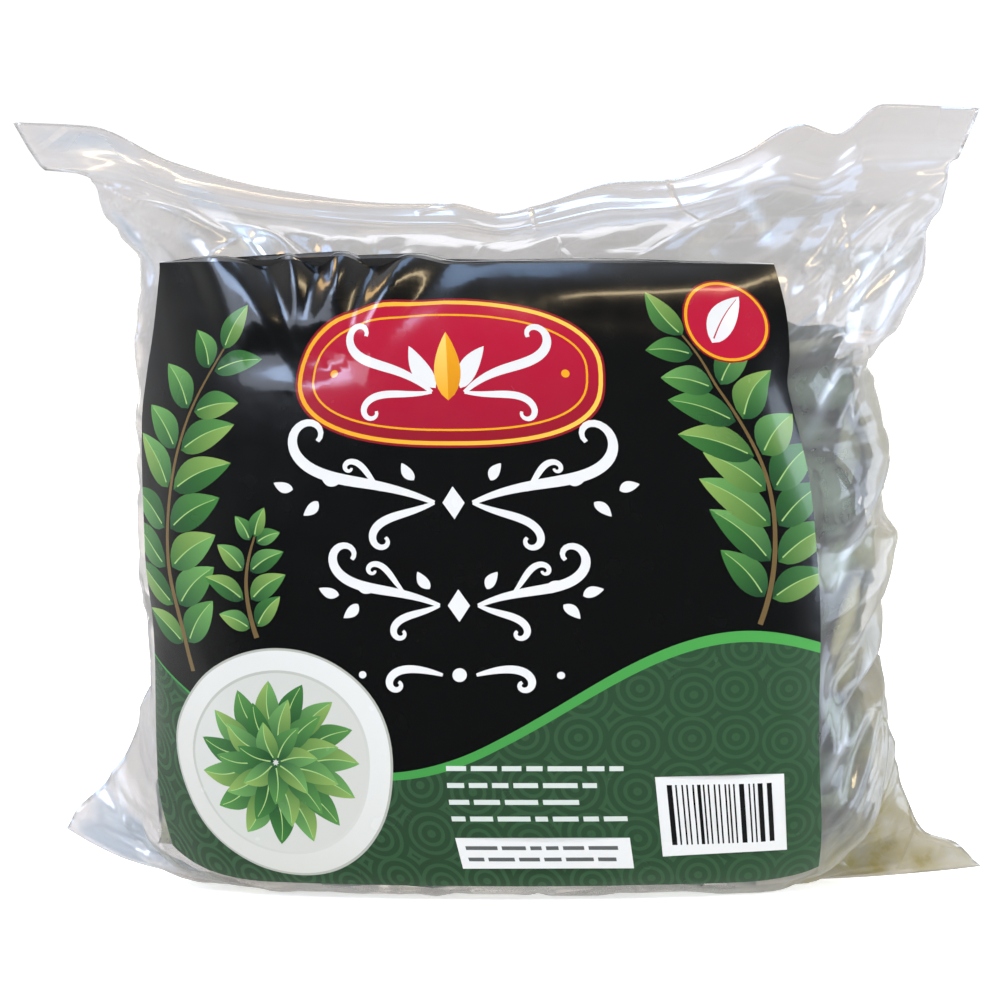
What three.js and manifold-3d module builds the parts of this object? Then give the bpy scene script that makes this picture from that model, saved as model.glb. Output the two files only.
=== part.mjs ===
// A clear bag of dried curry leaves, standing up. A tube of clear film is sealed flat at both
// ends. It is filled with loose leaflets and has a printed label stuck on its front.
// Units are millimetres. +Z is up and the label faces -Y. The origin is on the ground, under
// the middle of the bag.
import * as THREE from "three";
import { mergeVertices } from "three/addons/utils/BufferGeometryUtils.js";
import Module from "manifold-3d";

const wasm = await Module();
wasm.setup();

// ---- Driving dimensions of the film ----
// A level is the length of film from the bottom edge, measured up the middle of the front.
const filmLength = 240.5;
const filmWall = 0.6; // thicker than real film, so that it is a solid
const plyGap = 0.3; // between the two plies of the top band, which keeps the inside open
const slitLevel = 220; // from here up the inside is only that gap
const bottomSeal = 8; // height of the band where the two plies are one
const bandLevel = 225; // where the flat top band begins
const backShare = 1.02; // depth of the back against the front
const columns = 24; // facets across the film
const rows = [
  0, bottomSeal, 20, 32, 36, 40, 44, 48, 56, 68, 83, 98, 113, 130, 147, 162, 175, 184, 192, 199, 206, 214,
  221, bandLevel, 227, 233, filmLength,
];

// How far the middle of the front stands out from the bag's middle plane, by level.
const frontDepth = through([
  [0, 0.85], [32, 32], [40, 38.5], [48, 41.5], [78, 44.5], [113, 45], [148, 43], [175, 38.5], [188, 33.5],
  [199, 26], [210, 16.5], [221, 6], [bandLevel, 1.6], [227, 0.85], [filmLength, 0.85],
]);
// Height of the middle of the front above the ground, by level.
const middleHeight = through([
  [0, 0], [32, 0], [40, 3], [48, 10], [78, 40], [113, 75], [148, 110], [175, 136.5],
  [188, 148.5], [199, 156.5], [210, 160.5], [bandLevel, 162.5], [filmLength, 167],
]);
// Half width and height of the side folds, by level, and how far the fold is tucked in there. The
// ends flare out into pointed ears.
const leftSide = {
  width: through([
    [0, 109], [bottomSeal, 106.5], [20, 99], [32, 94], [48, 90.5], [70, 88], [100, 89], [120, 91.5],
    [150, 92], [175, 90.5], [190, 91.5], [201, 95.5], [bandLevel, 113], [filmLength, 121],
  ]),
  height: through([[0, 13], [20, 25], [48, 42], [113, 84], [175, 139], [205, 160], [filmLength, 170]]),
  tuck: through([[0, 0], [201, 0], [bandLevel, 9], [227, 0], [filmLength, 0]]),
};
const rightSide = {
  width: through([
    [0, 121], [bottomSeal, 114], [13, 107], [20, 103.5], [32, 100], [48, 98], [70, 96], [113, 97.5],
    [140, 97], [163, 94], [172, 98.5], [184, 104], [205, 110], [bandLevel, 114], [filmLength, 119.8],
  ]),
  height: through([
    [0, 3.5], [bottomSeal, 10], [13, 12.5], [20, 19], [48, 42], [113, 84], [175, 140], [205, 163],
    [filmLength, 170],
  ]),
  tuck: through([[0, 0], [205, 0], [bandLevel, 1.5], [227, 0], [filmLength, 0]]),
};
const tuckShare = 0.86; // share of the way to the fold at which a tuck begins
// Height of the top edge from the left ear, at -1, to the right ear, at 1.
const topEdge = through([
  [-1, 190], [-0.85, 189], [-0.68, 180], [-0.46, 173], [-0.2, 169.5], [-0.1, 169.5], [0, 167], [0.09, 169.5],
  [0.25, 175], [0.35, 175.5], [0.5, 181.5], [0.63, 189.5], [0.7, 187], [0.8, 194.5], [1, 193.5],
]);
// Exponent of the superellipse across the bag: flat bands at the seals, a full pillow between.
const roundness = through([
  [0, 5], [bottomSeal, 1.6], [20, 1.5], [40, 1.9], [60, 2.2], [113, 2.35], [160, 2.2], [190, 1.9], [210, 1.6],
  [221, 1.5], [bandLevel, 3.5], [227, 5], [filmLength, 5],
]);
const flatShare = 0.5; // share of the half width over which the base lies flat on the ground
const sideRise = 3; // how sharply the film rises from there to the side folds
// Share of the way to the side folds that the inside reaches: least in the thin ears.
const insideReach = through([
  [0, 0.8], [24, 0.88], [44, 0.95], [185, 0.95], [206, 0.9], [218, 0.84], [filmLength, 0.84],
]);
const closingShare = 0.92; // share of the way to the folds at which the inside starts to close up
const sagLevel = 175; // where the sag of the top edge begins
const leanLevel = 212; // where the film starts to lean
const topLean = 12; // the middle of the top band lies back by this much
const topWave = { depth: 4, radians: 7.5, start: 0.6 }; // the band's waves in and out, from middle to ear

// ---- Driving dimensions of the label and the leaves ----
const labelThick = 0.5;
const labelGap = 0.4;
const labelLevels = [41, 199]; // bottom and top edges
const labelLeft = through([
  [41, -0.8], [55, -0.85], [70, -0.875], [90, -0.86], [113, -0.85], [160, -0.87], [199, -0.86],
]);
const labelRight = through([[41, 0.72], [70, 0.7], [113, 0.68], [160, 0.65], [199, 0.58]]);

const leafClear = 1.3; // from the outside of the film to the nearest leaf
const leafLength = [38, 50];
const leafShare = 0.37; // width against length
const leafThick = 0.7;
const lowestLeaf = 9;
const leafRows = [26, 60, 94, 128, 160]; // film levels of the leaves around the heap
const leavesAround = 10;
const leavesOnTop = 8;
// The core of the heap, which the leaves are sunk into: its inset from the film, its levels, and
// the rings of its domed top as [share of the width, height].
const coreInset = 4.5;
const coreLevels = [32, 48, 68, 98, 130, 155, 172];
const coreColumns = 14;
const dome = [[0.9, 140], [0.7, 144], [0.35, 147.5]];

// ---- Curves and random numbers ----

// Smooth curve through [x, y] points. It never overshoots them, and runs straight past its ends.
function through(points) {
  const slopes = points.slice(1).map(([x, y], i) => (y - points[i][1]) / (x - points[i][0]));
  const last = points.length - 1;
  const tangents = points.map((_, i) => {
    if (i === 0 || i === last) return slopes[Math.min(i, last - 1)];
    const [before, after] = [slopes[i - 1], slopes[i]];
    return before * after <= 0 ? 0 : (2 * before * after) / (before + after);
  });
  return (x) => {
    if (x <= points[0][0]) return points[0][1] + tangents[0] * (x - points[0][0]);
    if (x >= points[last][0]) return points[last][1] + tangents[last] * (x - points[last][0]);
    const i = points.findIndex((p) => p[0] > x) - 1;
    const span = points[i + 1][0] - points[i][0];
    const t = (x - points[i][0]) / span;
    return (
      points[i][1] * (1 + 2 * t) * (1 - t) ** 2 +
      points[i + 1][1] * (3 - 2 * t) * t ** 2 +
      span * (tangents[i] * t * (1 - t) ** 2 - tangents[i + 1] * (1 - t) * t ** 2)
    );
  };
}

// Random numbers from 0 to 1, the same on every run.
function randomFrom(seed) {
  let state = seed;
  return () => {
    state = (Math.imul(state, 1664525) + 1013904223) >>> 0;
    return state / 2 ** 32;
  };
}

const clamp = (x) => Math.min(1, Math.max(0, x));
const mix = (a, b, t) => a + (b - a) * t;
const smooth = (t) => clamp(t) ** 2 * (3 - 2 * clamp(t));

// ---- The surface of the film ----

// Point of a quarter superellipse, at an even share of its length from the middle to the side.
function quarterPoint(share, halfWidth, depth, exponent) {
  const steps = 60;
  const at = (i) => {
    const angle = ((i / steps) * Math.PI) / 2;
    return [
      halfWidth * Math.sin(angle) ** (2 / exponent),
      depth * Math.max(0, Math.cos(angle)) ** (2 / exponent),
    ];
  };
  const path = Array.from({ length: steps + 1 }, (_, i) => at(i));
  const lengths = [0];
  for (let i = 1; i <= steps; i++) {
    lengths.push(lengths[i - 1] + Math.hypot(path[i][0] - path[i - 1][0], path[i][1] - path[i - 1][1]));
  }
  const wanted = clamp(share) * lengths[steps];
  const i = Math.max(1, lengths.findIndex((l) => l >= wanted - 1e-9));
  const t = (wanted - lengths[i - 1]) / (lengths[i] - lengths[i - 1]);
  return [mix(path[i - 1][0], path[i][0], t), mix(path[i - 1][1], path[i][1], t)];
}

// How far back the bag's middle plane lies. The top band leans and waves.
function leanAt(across, level) {
  const leaning = smooth((level - leanLevel) / (filmLength - leanLevel));
  const wave = topWave.depth * Math.sin(topWave.radians * across + topWave.start) * Math.abs(across);
  return leaning * (topLean * (1 - across ** 2) + wave);
}

// Point of the film. across runs from -1 at the left fold to 1 at the right fold, level is as
// above, and face is 1 on the front and -1 on the back.
function filmPoint(across, level, face) {
  const side = across < 0 ? leftSide : rightSide;
  const u = Math.abs(across);
  const depth = frontDepth(level) * (face > 0 ? 1 : backShare);
  const [x, y] = quarterPoint(u, side.width(level), depth, roundness(level));
  const sag = clamp((level - sagLevel) / (filmLength - sagLevel)) ** 2;
  const lift = clamp((u - flatShare) / (1 - flatShare)) ** sideRise * (1 - sag);
  const height = mix(middleHeight(level), side.height(level), lift) + (topEdge(across) - topEdge(0)) * sag;
  const tucked = x - side.tuck(level) * clamp((u - tuckShare) / (1 - tuckShare));
  return new THREE.Vector3(Math.sign(across) * tucked, leanAt(across, level) - face * y, height);
}

// The same point moved straight out of the film by a distance.
function outsidePoint(across, level, face, distance) {
  const sideways = filmPoint(across + 0.01, level, face).sub(filmPoint(across - 0.01, level, face));
  const upwards = filmPoint(across, level + 1, face).sub(filmPoint(across, level - 1, face));
  const out = sideways.cross(upwards).multiplyScalar(face).normalize();
  return filmPoint(across, level, face).addScaledVector(out, distance);
}

// Point inside the film by a distance. The front and back close up at the side folds.
function insidePoint(across, level, face, distance) {
  const inSlit = level > slitLevel;
  const reached = Math.sign(across) * Math.min(Math.abs(across), insideReach(level));
  const point = outsidePoint(reached, level, face, inSlit ? 0 : -distance);
  const lean = leanAt(reached, level);
  const closing = Math.sqrt(1 - clamp((Math.abs(across) - closingShare) / (1 - closingShare)) ** 2);
  const halfDepth = inSlit ? plyGap / 2 : Math.max(face * (lean - point.y), plyGap / 2);
  point.y = lean - face * closing * halfDepth;
  return point;
}

// ---- Building solids ----

function geometryOf(points, triangles) {
  const geometry = new THREE.BufferGeometry();
  const values = points.flatMap((p) => [p.x, p.y, p.z]);
  geometry.setAttribute("position", new THREE.Float32BufferAttribute(values, 3));
  geometry.setIndex(triangles);
  return geometry;
}

function solidOf(geometry) {
  const merged = mergeVertices(geometry, 1e-4);
  return new wasm.Manifold(
    new wasm.Mesh({
      numProp: 3,
      vertProperties: merged.attributes.position.array,
      triVerts: new Uint32Array(merged.index.array),
    }),
  );
}

function geometryFrom(solid) {
  const mesh = solid.getMesh();
  const geometry = new THREE.BufferGeometry();
  geometry.setAttribute("position", new THREE.BufferAttribute(mesh.vertProperties, 3));
  geometry.setIndex(new THREE.BufferAttribute(mesh.triVerts, 1));
  geometry.computeVertexNormals();
  return geometry;
}

// Solid through a stack of rings, closed across at both ends. A ring is a function of (across, face).
function tubeSolid(rings, facets = columns) {
  const around = 2 * facets;
  const points = rings.flatMap((pointOf) =>
    Array.from({ length: around }, (_, j) =>
      j <= facets ? pointOf((2 * j) / facets - 1, 1) : pointOf(3 - (2 * j) / facets, -1),
    ),
  );
  const triangles = [];
  for (let i = 0; i + 1 < rings.length; i++) {
    for (let j = 0; j < around; j++) {
      const [a, b] = [i * around + j, i * around + ((j + 1) % around)];
      triangles.push(a, b, b + around, a, b + around, a + around);
    }
  }
  for (const [start, up] of [[0, false], [(rings.length - 1) * around, true]]) {
    for (let j = 0; j < facets; j++) {
      const [front, nextFront] = [start + j, start + j + 1];
      const [back, nextBack] = [start + ((around - j) % around), start + around - j - 1];
      const ends = [[front, nextFront, nextBack], [front, nextBack, back]];
      for (const t of ends.filter((t) => new Set(t).size === 3)) triangles.push(...(up ? t : t.reverse()));
    }
  }
  return solidOf(geometryOf(points, triangles));
}

// Sheet of even thickness between two grids of points, each a list of rows.
function sheetGeometry(outside, inside) {
  const points = [...outside.flat(), ...inside.flat()];
  const [down, across] = [outside.length - 1, outside[0].length - 1];
  const at = (j, i, back) => (back ? points.length / 2 : 0) + i * (across + 1) + j;
  const triangles = [];
  const quad = (a, b, c, d) => triangles.push(a, b, c, a, c, d);
  for (let i = 0; i < down; i++) {
    for (let j = 0; j < across; j++) {
      quad(at(j, i), at(j + 1, i), at(j + 1, i + 1), at(j, i + 1));
      quad(at(j, i, true), at(j, i + 1, true), at(j + 1, i + 1, true), at(j + 1, i, true));
    }
    quad(at(0, i), at(0, i + 1), at(0, i + 1, true), at(0, i, true));
    quad(at(across, i), at(across, i, true), at(across, i + 1, true), at(across, i + 1));
  }
  for (let j = 0; j < across; j++) {
    quad(at(j, 0), at(j, 0, true), at(j + 1, 0, true), at(j + 1, 0));
    quad(at(j, down), at(j + 1, down), at(j + 1, down, true), at(j, down, true));
  }
  return geometryOf(points, triangles);
}

const ringInside = (distance) => (level) => (across, face) => insidePoint(across, level, face, distance);

// ---- The pieces ----

function filmBag() {
  const cavityRows = [...rows.slice(1, -1), filmLength + 2];
  const outside = tubeSolid(rows.map((level) => (across, face) => filmPoint(across, level, face)));
  return geometryFrom(outside.subtract(tubeSolid(cavityRows.map(ringInside(filmWall)))));
}

// The label's rows are those of the film, so that the two lie parallel.
function label() {
  const [bottom, top] = labelLevels;
  const levels = [bottom, ...rows.filter((level) => level > bottom && level < top), top];
  const shares = Array.from({ length: columns + 1 }, (_, j) => j / columns);
  const grid = (offset) =>
    levels.map((level) =>
      shares.map((t) => outsidePoint(mix(labelLeft(level), labelRight(level), t), level, 1, offset)),
    );
  return sheetGeometry(grid(labelGap + labelThick), grid(labelGap));
}

// One leaflet as a closed solid. pointOf places the points that lie x along its rib, y to the
// side of it and z above it. The leaflet is lance-shaped, folded along its rib and bowed.
function leaflet(length, fold, bow, pointOf) {
  const stations = [0.2, 0.5, 0.8];
  const halfWidths = [0.36, 0.5, 0.34].map((share) => share * length * leafShare);
  const layer = (offset) => {
    const lifted = (t) => offset - bow * (2 * t - 1) ** 2;
    const points = [pointOf(-length / 2, 0, lifted(0))];
    stations.forEach((t, i) => {
      for (const side of [-1, 0, 1]) {
        points.push(pointOf((t - 0.5) * length, side * halfWidths[i], lifted(t) + Math.abs(side) * fold));
      }
    });
    points.push(pointOf(length / 2, 0, lifted(1)));
    return points;
  };
  const points = [...layer(leafThick / 2), ...layer(-leafThick / 2)];
  const under = points.length / 2;
  const top = [0, 1, 2, 0, 2, 3, 7, 10, 8, 8, 10, 9];
  for (const a of [1, 2, 4, 5]) top.push(a, a + 3, a + 4, a, a + 4, a + 1);
  const triangles = [...top, ...top.map((a) => a + under).reverse()];
  const rim = [0, 1, 4, 7, 10, 9, 6, 3];
  rim.forEach((a, i) => {
    const b = rim[(i + 1) % rim.length];
    triangles.push(a, b + under, b, a, a + under, b + under);
  });
  return solidOf(geometryOf(points, triangles));
}

// Core of the heap of leaves: a tube inside the film with a domed top.
function heapCore() {
  const domeRing = ([share, height]) => (across, face) => {
    const rim = insidePoint(across, coreLevels.at(-1), face, coreInset);
    return new THREE.Vector3(rim.x * share, rim.y * share, mix(height, rim.z, share ** 4));
  };
  return tubeSolid([...coreLevels.map(ringInside(coreInset)), ...dome.map(domeRing)], coreColumns);
}

// Leaves pressed flat against the film all the way round the heap. Each lies in its own place of
// a staggered grid, turned at random, and dips into the core at both ends.
function leavesByFilm(random) {
  const halfFace = 112; // millimetres of film from the middle of a face to its fold
  return leafRows.flatMap((row, i) =>
    Array.from({ length: leavesAround }, (_, k) => {
      const place = ((k + (i % 2) / 2 + mix(-0.2, 0.2, random())) * 4) / leavesAround;
      const level = row + mix(-5, 5, random());
      const turn = mix(0, Math.PI, random());
      const [tilt, nearest] = [mix(-0.04, 0.04, random()), mix(2.2, 3.4, random())];
      const pointOf = (x, y, z) => {
        const [sideways, upwards] = [
          x * Math.cos(turn) - y * Math.sin(turn),
          x * Math.sin(turn) + y * Math.cos(turn),
        ];
        const around = (((place + sideways / halfFace) % 4) + 4) % 4;
        const [across, face] = around < 2 ? [around - 1, 1] : [3 - around, -1];
        return insidePoint(across, Math.max(level + upwards, lowestLeaf), face, nearest - z + tilt * y);
      };
      return leaflet(mix(...leafLength, random()), mix(-1, 1.5, random()), mix(3, 4.5, random()), pointOf);
    }),
  );
}

// Leaves lying on top of the heap.
function leavesOnHeap(random) {
  const [share, height] = dome[1];
  return Array.from({ length: leavesOnTop }, (_, k) => {
    const across = (2 * (k + random())) / leavesOnTop - 1;
    const centre = insidePoint(across * share, coreLevels.at(-1), k % 2 ? 1 : -1, coreInset);
    const tips = [mix(-0.35, 0.35, random()), mix(-0.3, 0.3, random())];
    const turned = new THREE.Euler(...tips, mix(0, 2 * Math.PI, random()), "ZYX");
    const place = new THREE.Vector3(centre.x * 0.9, centre.y * 0.5, height - 3 * across ** 2);
    const pointOf = (x, y, z) => new THREE.Vector3(x, y, z).applyEuler(turned).add(place);
    return leaflet(mix(...leafLength, random()), mix(-1, 2, random()), mix(1, 3, random()), pointOf);
  });
}

function driedLeaves() {
  const random = randomFrom(7);
  const roomRows = rows.filter((level) => level > lowestLeaf && level < 200);
  const room = tubeSolid(roomRows.map(ringInside(leafClear)));
  const leaves = [...leavesByFilm(random), ...leavesOnHeap(random)];
  const heap = wasm.Manifold.union([heapCore(), ...leaves]).intersect(room);
  const pieces = heap.decompose().sort((a, b) => b.volume() - a.volume());
  return geometryFrom(pieces[0]);
}

// ---- The bag ----

const clearFilm = new THREE.MeshStandardMaterial({
  color: 0xe4e6e6, roughness: 0.12, metalness: 0, transparent: true, opacity: 0.35,
});
const printedLabel = new THREE.MeshStandardMaterial({ color: 0x141516, roughness: 0.2, metalness: 0 });
const dryLeaf = new THREE.MeshStandardMaterial({ color: 0x6f7a55, roughness: 0.8, metalness: 0 });

function piece(name, geometry, material) {
  const mesh = new THREE.Mesh(geometry, material);
  mesh.name = name;
  return mesh;
}

const bag = new THREE.Group();
bag.add(
  piece("film_bag", filmBag(), clearFilm),
  piece("label", label(), printedLabel),
  piece("dried_leaves", driedLeaves(), dryLeaf),
);

export default bag;
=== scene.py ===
import math

import bpy
import numpy as np
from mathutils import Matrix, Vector
from mathutils.geometry import delaunay_2d_cdt


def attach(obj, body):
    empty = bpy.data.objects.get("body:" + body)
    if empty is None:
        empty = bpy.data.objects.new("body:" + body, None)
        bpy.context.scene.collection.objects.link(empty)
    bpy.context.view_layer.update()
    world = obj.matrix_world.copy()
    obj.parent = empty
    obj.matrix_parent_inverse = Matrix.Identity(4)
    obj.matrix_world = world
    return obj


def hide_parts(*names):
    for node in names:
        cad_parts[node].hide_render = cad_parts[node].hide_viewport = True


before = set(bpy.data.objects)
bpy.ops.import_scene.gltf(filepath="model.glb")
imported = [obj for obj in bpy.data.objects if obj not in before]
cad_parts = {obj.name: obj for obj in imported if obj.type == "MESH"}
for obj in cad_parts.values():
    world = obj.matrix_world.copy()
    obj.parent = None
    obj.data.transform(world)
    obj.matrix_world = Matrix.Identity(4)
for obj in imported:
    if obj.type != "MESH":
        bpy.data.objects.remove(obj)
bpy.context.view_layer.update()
print("frame loaded:", ", ".join(sorted(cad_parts)))

# A clear bag of dried curry leaves, standing up. Lengths are in millimetres until a mesh is
# made, and +Z is up with the label facing -Y, as in the frame.


# A hex sRGB colour as linear red, green and blue, with an alpha of 1
def linearColour(hexValue):
    value = np.array([int(hexValue[i:i + 2], 16) for i in (1, 3, 5)]) / 255
    linear = np.where(value <= 0.04045, value / 12.92, ((value + 0.055) / 1.055) ** 2.4)
    return (*linear.tolist(), 1.0)


# Adds a node to a tree; a value that is a socket is linked, any other is typed in
def addNode(tree, kind, settings=None, inputs=None):
    node = tree.nodes.new(kind)
    for name, value in (settings or {}).items():
        setattr(node, name, value)
    for socket, value in (inputs or {}).items():
        if isinstance(value, bpy.types.NodeSocket):
            tree.links.new(value, node.inputs[socket])
        else:
            node.inputs[socket].default_value = value
    return node


# Result of a math node
def maths(tree, operation, first, second=None, third=None, clamped=False):
    inputs = {i: value for i, value in enumerate((first, second, third)) if value is not None}
    settings = {"operation": operation, "use_clamp": clamped}
    return addNode(tree, "ShaderNodeMath", settings, inputs).outputs["Value"]


# Result of a vector math node
def vectorMaths(tree, operation, first, second):
    node = addNode(tree, "ShaderNodeVectorMath", {"operation": operation}, {0: first, 1: second})
    return node.outputs["Value" if operation == "DOT_PRODUCT" else "Vector"]


# A value's range moved onto another one and held in it
def moved(tree, value, fromRange, toRange):
    inputs = dict(enumerate((value, *fromRange, *toRange)))
    return addNode(tree, "ShaderNodeMapRange", None, inputs).outputs["Result"]


# Two colours mixed by a factor: the node's colour sockets are its inputs 6 and 7 and its output 2
def mixColours(tree, factor, first, second, blend="MIX"):
    settings = {"data_type": "RGBA", "blend_type": blend}
    return addNode(tree, "ShaderNodeMix", settings, {"Factor": factor, 6: first, 7: second}).outputs[2]


# Two shaders mixed by a factor
def mixShaders(tree, factor, first, second):
    return addNode(tree, "ShaderNodeMixShader", None, {0: factor, 1: first, 2: second}).outputs["Shader"]


# Noise at a place
def noiseAt(tree, place, scale, **inputs):
    noise = addNode(tree, "ShaderNodeTexNoise", None, {"Vector": place, "Scale": scale, **inputs})
    return noise.outputs["Fac"]


# An empty material and its node tree
def newMaterial(name):
    material = bpy.data.materials.new(name)
    material.use_nodes = True
    material.node_tree.nodes.clear()
    return material, material.node_tree


# A mesh object from points in millimetres and faces given as lists or arrays of indices
def addPiece(name, points, faces, material):
    mesh = bpy.data.meshes.new(name)
    listed = [face for group in faces for face in np.asarray(group).tolist()]
    mesh.from_pydata((points * 0.001).tolist(), [], listed)
    mesh.polygons.foreach_set("use_smooth", np.ones(len(mesh.polygons), dtype=bool))
    mesh.materials.append(material)
    mesh.update()
    piece = bpy.data.objects.new(name, mesh)
    bpy.context.collection.objects.link(piece)
    return piece


# Held between 0 and 1
def clamp(x):
    return np.clip(x, 0, 1)


# a + (b - a) t
def mix(a, b, t):
    return a + (b - a) * t


# 3t^2 - 2t^3, flat at both ends
def smooth(t):
    t = clamp(t)
    return t * t * (3 - 2 * t)


# Smooth curve through points: cubic pieces whose slope at a point is the harmonic mean of the
# slopes beside it, so it never overshoots, and which run straight past the ends
def through(points):
    px, py = np.array(points, dtype=float).T
    slopes = np.diff(py) / np.diff(px)
    product = slopes[:-1] * slopes[1:]
    total = np.where(product > 0, slopes[:-1] + slopes[1:], 1)
    inner = np.where(product > 0, 2 * product / total, 0)
    tangents = np.concatenate([slopes[:1], inner, slopes[-1:]])

    def curve(x):
        x = np.asarray(x, dtype=float)
        i = np.clip(np.searchsorted(px, x, side="right") - 1, 0, len(px) - 2)
        span = px[i + 1] - px[i]
        t = clamp((x - px[i]) / span)
        held = py[i] * (1 + 2 * t) * (1 - t) ** 2 + py[i + 1] * (3 - 2 * t) * t ** 2
        bent = span * (tangents[i] * t * (1 - t) ** 2 - tangents[i + 1] * (1 - t) * t ** 2)
        past = tangents[0] * np.minimum(x - px[0], 0) + tangents[-1] * np.maximum(x - px[-1], 0)
        return held + bent + past

    return curve


# The camera stands in front of the label and a little above it
cameraSetup = {
    "distance": 1.70,
    "elevation": 4.0,
    "aim": (0.0, -0.012, 0.0965),
    "across": 0.2485,  # width of the view where the camera aims
    "sensor": 36.0,
}

cameraData = bpy.data.cameras.new("camera")
camera = bpy.data.objects.new("camera", cameraData)
bpy.context.collection.objects.link(camera)
bpy.context.scene.camera = camera
rise = math.radians(cameraSetup["elevation"])
backwards = Vector((0, -math.cos(rise), math.sin(rise)))
camera.location = Vector(cameraSetup["aim"]) + cameraSetup["distance"] * backwards
camera.rotation_euler = (-backwards).to_track_quat("-Z", "Y").to_euler()
cameraData.sensor_width = cameraSetup["sensor"]
cameraData.lens = cameraSetup["sensor"] * cameraSetup["distance"] / cameraSetup["across"]
bpy.context.scene.view_settings.view_transform = "Standard"
print("camera placed")

# A level is the length of film from the bottom edge, up the middle of the front. across runs
# from -1 at the left fold to 1 at the right fold, and face is 1 on the front, -1 on the back.
film = {
    "length": 240.5,
    "halfFace": 112.0,  # film from the middle of a face to its fold
    "bottomSeal": 8.0,
    "backShare": 1.02,  # depth of the back against the front
    "sagFrom": 175,  # the top edge's sag begins at this level
    "leanFrom": 212,  # and its lean at this one
    "lean": 12,
    "wave": 4,
    "depth": [
        [0, 0.3], [8, 5], [32, 32], [40, 38.5], [48, 41.5], [78, 44.5], [113, 45], [148, 43], [175, 38.5],
        [188, 33.5], [199, 26], [210, 16.5], [221, 6], [225, 1.2], [227, 0.4], [240.5, 0.3],
    ],
    "height": [
        [0, 0], [32, 0], [40, 3], [48, 10], [78, 40], [113, 75], [148, 110], [175, 136.5],
        [188, 148.5], [199, 156.5], [210, 160.5], [225, 162.5], [240.5, 167],
    ],
    "leftWidth": [
        [0, 109], [8, 106.5], [20, 99], [32, 94], [48, 90.5], [70, 88], [100, 89], [120, 91.5],
        [150, 92], [175, 90.5], [190, 91.5], [201, 95.5], [225, 113], [240.5, 121],
    ],
    "leftHeight": [[0, 13], [20, 25], [48, 42], [113, 84], [175, 139], [205, 160], [240.5, 170]],
    "leftTuck": [[0, 0], [201, 0], [225, 9], [227, 0], [240.5, 0]],
    "rightWidth": [
        [0, 121], [8, 114], [13, 107], [20, 103.5], [32, 100], [48, 98], [70, 96], [113, 97.5],
        [140, 97], [163, 94], [172, 98.5], [184, 104], [205, 110], [225, 114], [240.5, 119.8],
    ],
    "rightHeight": [
        [0, 3.5], [8, 10], [13, 12.5], [20, 19], [48, 42], [113, 84], [175, 140], [205, 163], [240.5, 170],
    ],
    "rightTuck": [[0, 0], [205, 0], [225, 1.5], [227, 0], [240.5, 0]],
    "topEdge": [
        [-1, 190], [-0.85, 189], [-0.68, 180], [-0.46, 173], [-0.2, 169.5], [-0.1, 169.5], [0, 167],
        [0.09, 169.5], [0.25, 175], [0.35, 175.5], [0.5, 181.5], [0.63, 189.5], [0.7, 187], [0.8, 194.5],
        [1, 193.5],
    ],
    "roundness": [
        [0, 5], [8, 1.6], [20, 1.5], [40, 1.9], [60, 2.2], [113, 2.35], [160, 2.2], [190, 1.9], [210, 1.6],
        [221, 1.5], [225, 3.5], [227, 5], [240.5, 5],
    ],
    "insideReach": [[0, 0.8], [24, 0.88], [44, 0.95], [185, 0.95], [206, 0.9], [218, 0.84], [240.5, 0.84]],
    "labelLevels": [41, 199],
    "labelLeft": [
        [41, -0.8], [55, -0.85], [70, -0.875], [90, -0.86], [113, -0.85], [160, -0.87], [199, -0.86],
    ],
    "labelRight": [[41, 0.72], [70, 0.7], [113, 0.68], [160, 0.65], [199, 0.58]],
}
filmLevels = through(film["height"])
depthAt = through(film["depth"])
roundnessAt = through(film["roundness"])
topEdgeAt = through(film["topEdge"])
insideReachAt = through(film["insideReach"])
leftAt = [through(film[key]) for key in ("leftWidth", "leftHeight", "leftTuck")]
rightAt = [through(film[key]) for key in ("rightWidth", "rightHeight", "rightTuck")]
labelLeftAt = through(film["labelLeft"])
labelRightAt = through(film["labelRight"])


# Point of a quarter superellipse, x = W sin(a)^(2/n) and y = d cos(a)^(2/n), at an even share
# of its length from the middle to the side
def quarterPoint(share, halfWidth, depth, exponent):
    angle = np.linspace(0, math.pi / 2, 61)
    power = 2 / exponent[:, None]
    pathX = halfWidth[:, None] * np.sin(angle) ** power
    pathY = depth[:, None] * np.maximum(np.cos(angle), 0) ** power
    steps = np.hypot(np.diff(pathX, axis=1), np.diff(pathY, axis=1))
    lengths = np.concatenate([np.zeros((len(share), 1)), np.cumsum(steps, axis=1)], axis=1)
    wanted = clamp(share) * lengths[:, -1]
    i = np.clip((lengths < wanted[:, None] - 1e-9).sum(axis=1), 1, 60)
    row = np.arange(len(share))
    t = (wanted - lengths[row, i - 1]) / (lengths[row, i] - lengths[row, i - 1])
    return mix(pathX[row, i - 1], pathX[row, i], t), mix(pathY[row, i - 1], pathY[row, i], t)


# How far back the middle plane lies: towards the top it leans by 1 - across^2 and waves by a
# sine that grows to the sides
def leanAt(across, level):
    leaning = smooth((level - film["leanFrom"]) / (film["length"] - film["leanFrom"]))
    wave = film["wave"] * np.sin(7.5 * across + 0.6) * np.abs(across)
    return leaning * (film["lean"] * (1 - across ** 2) + wave)


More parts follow.
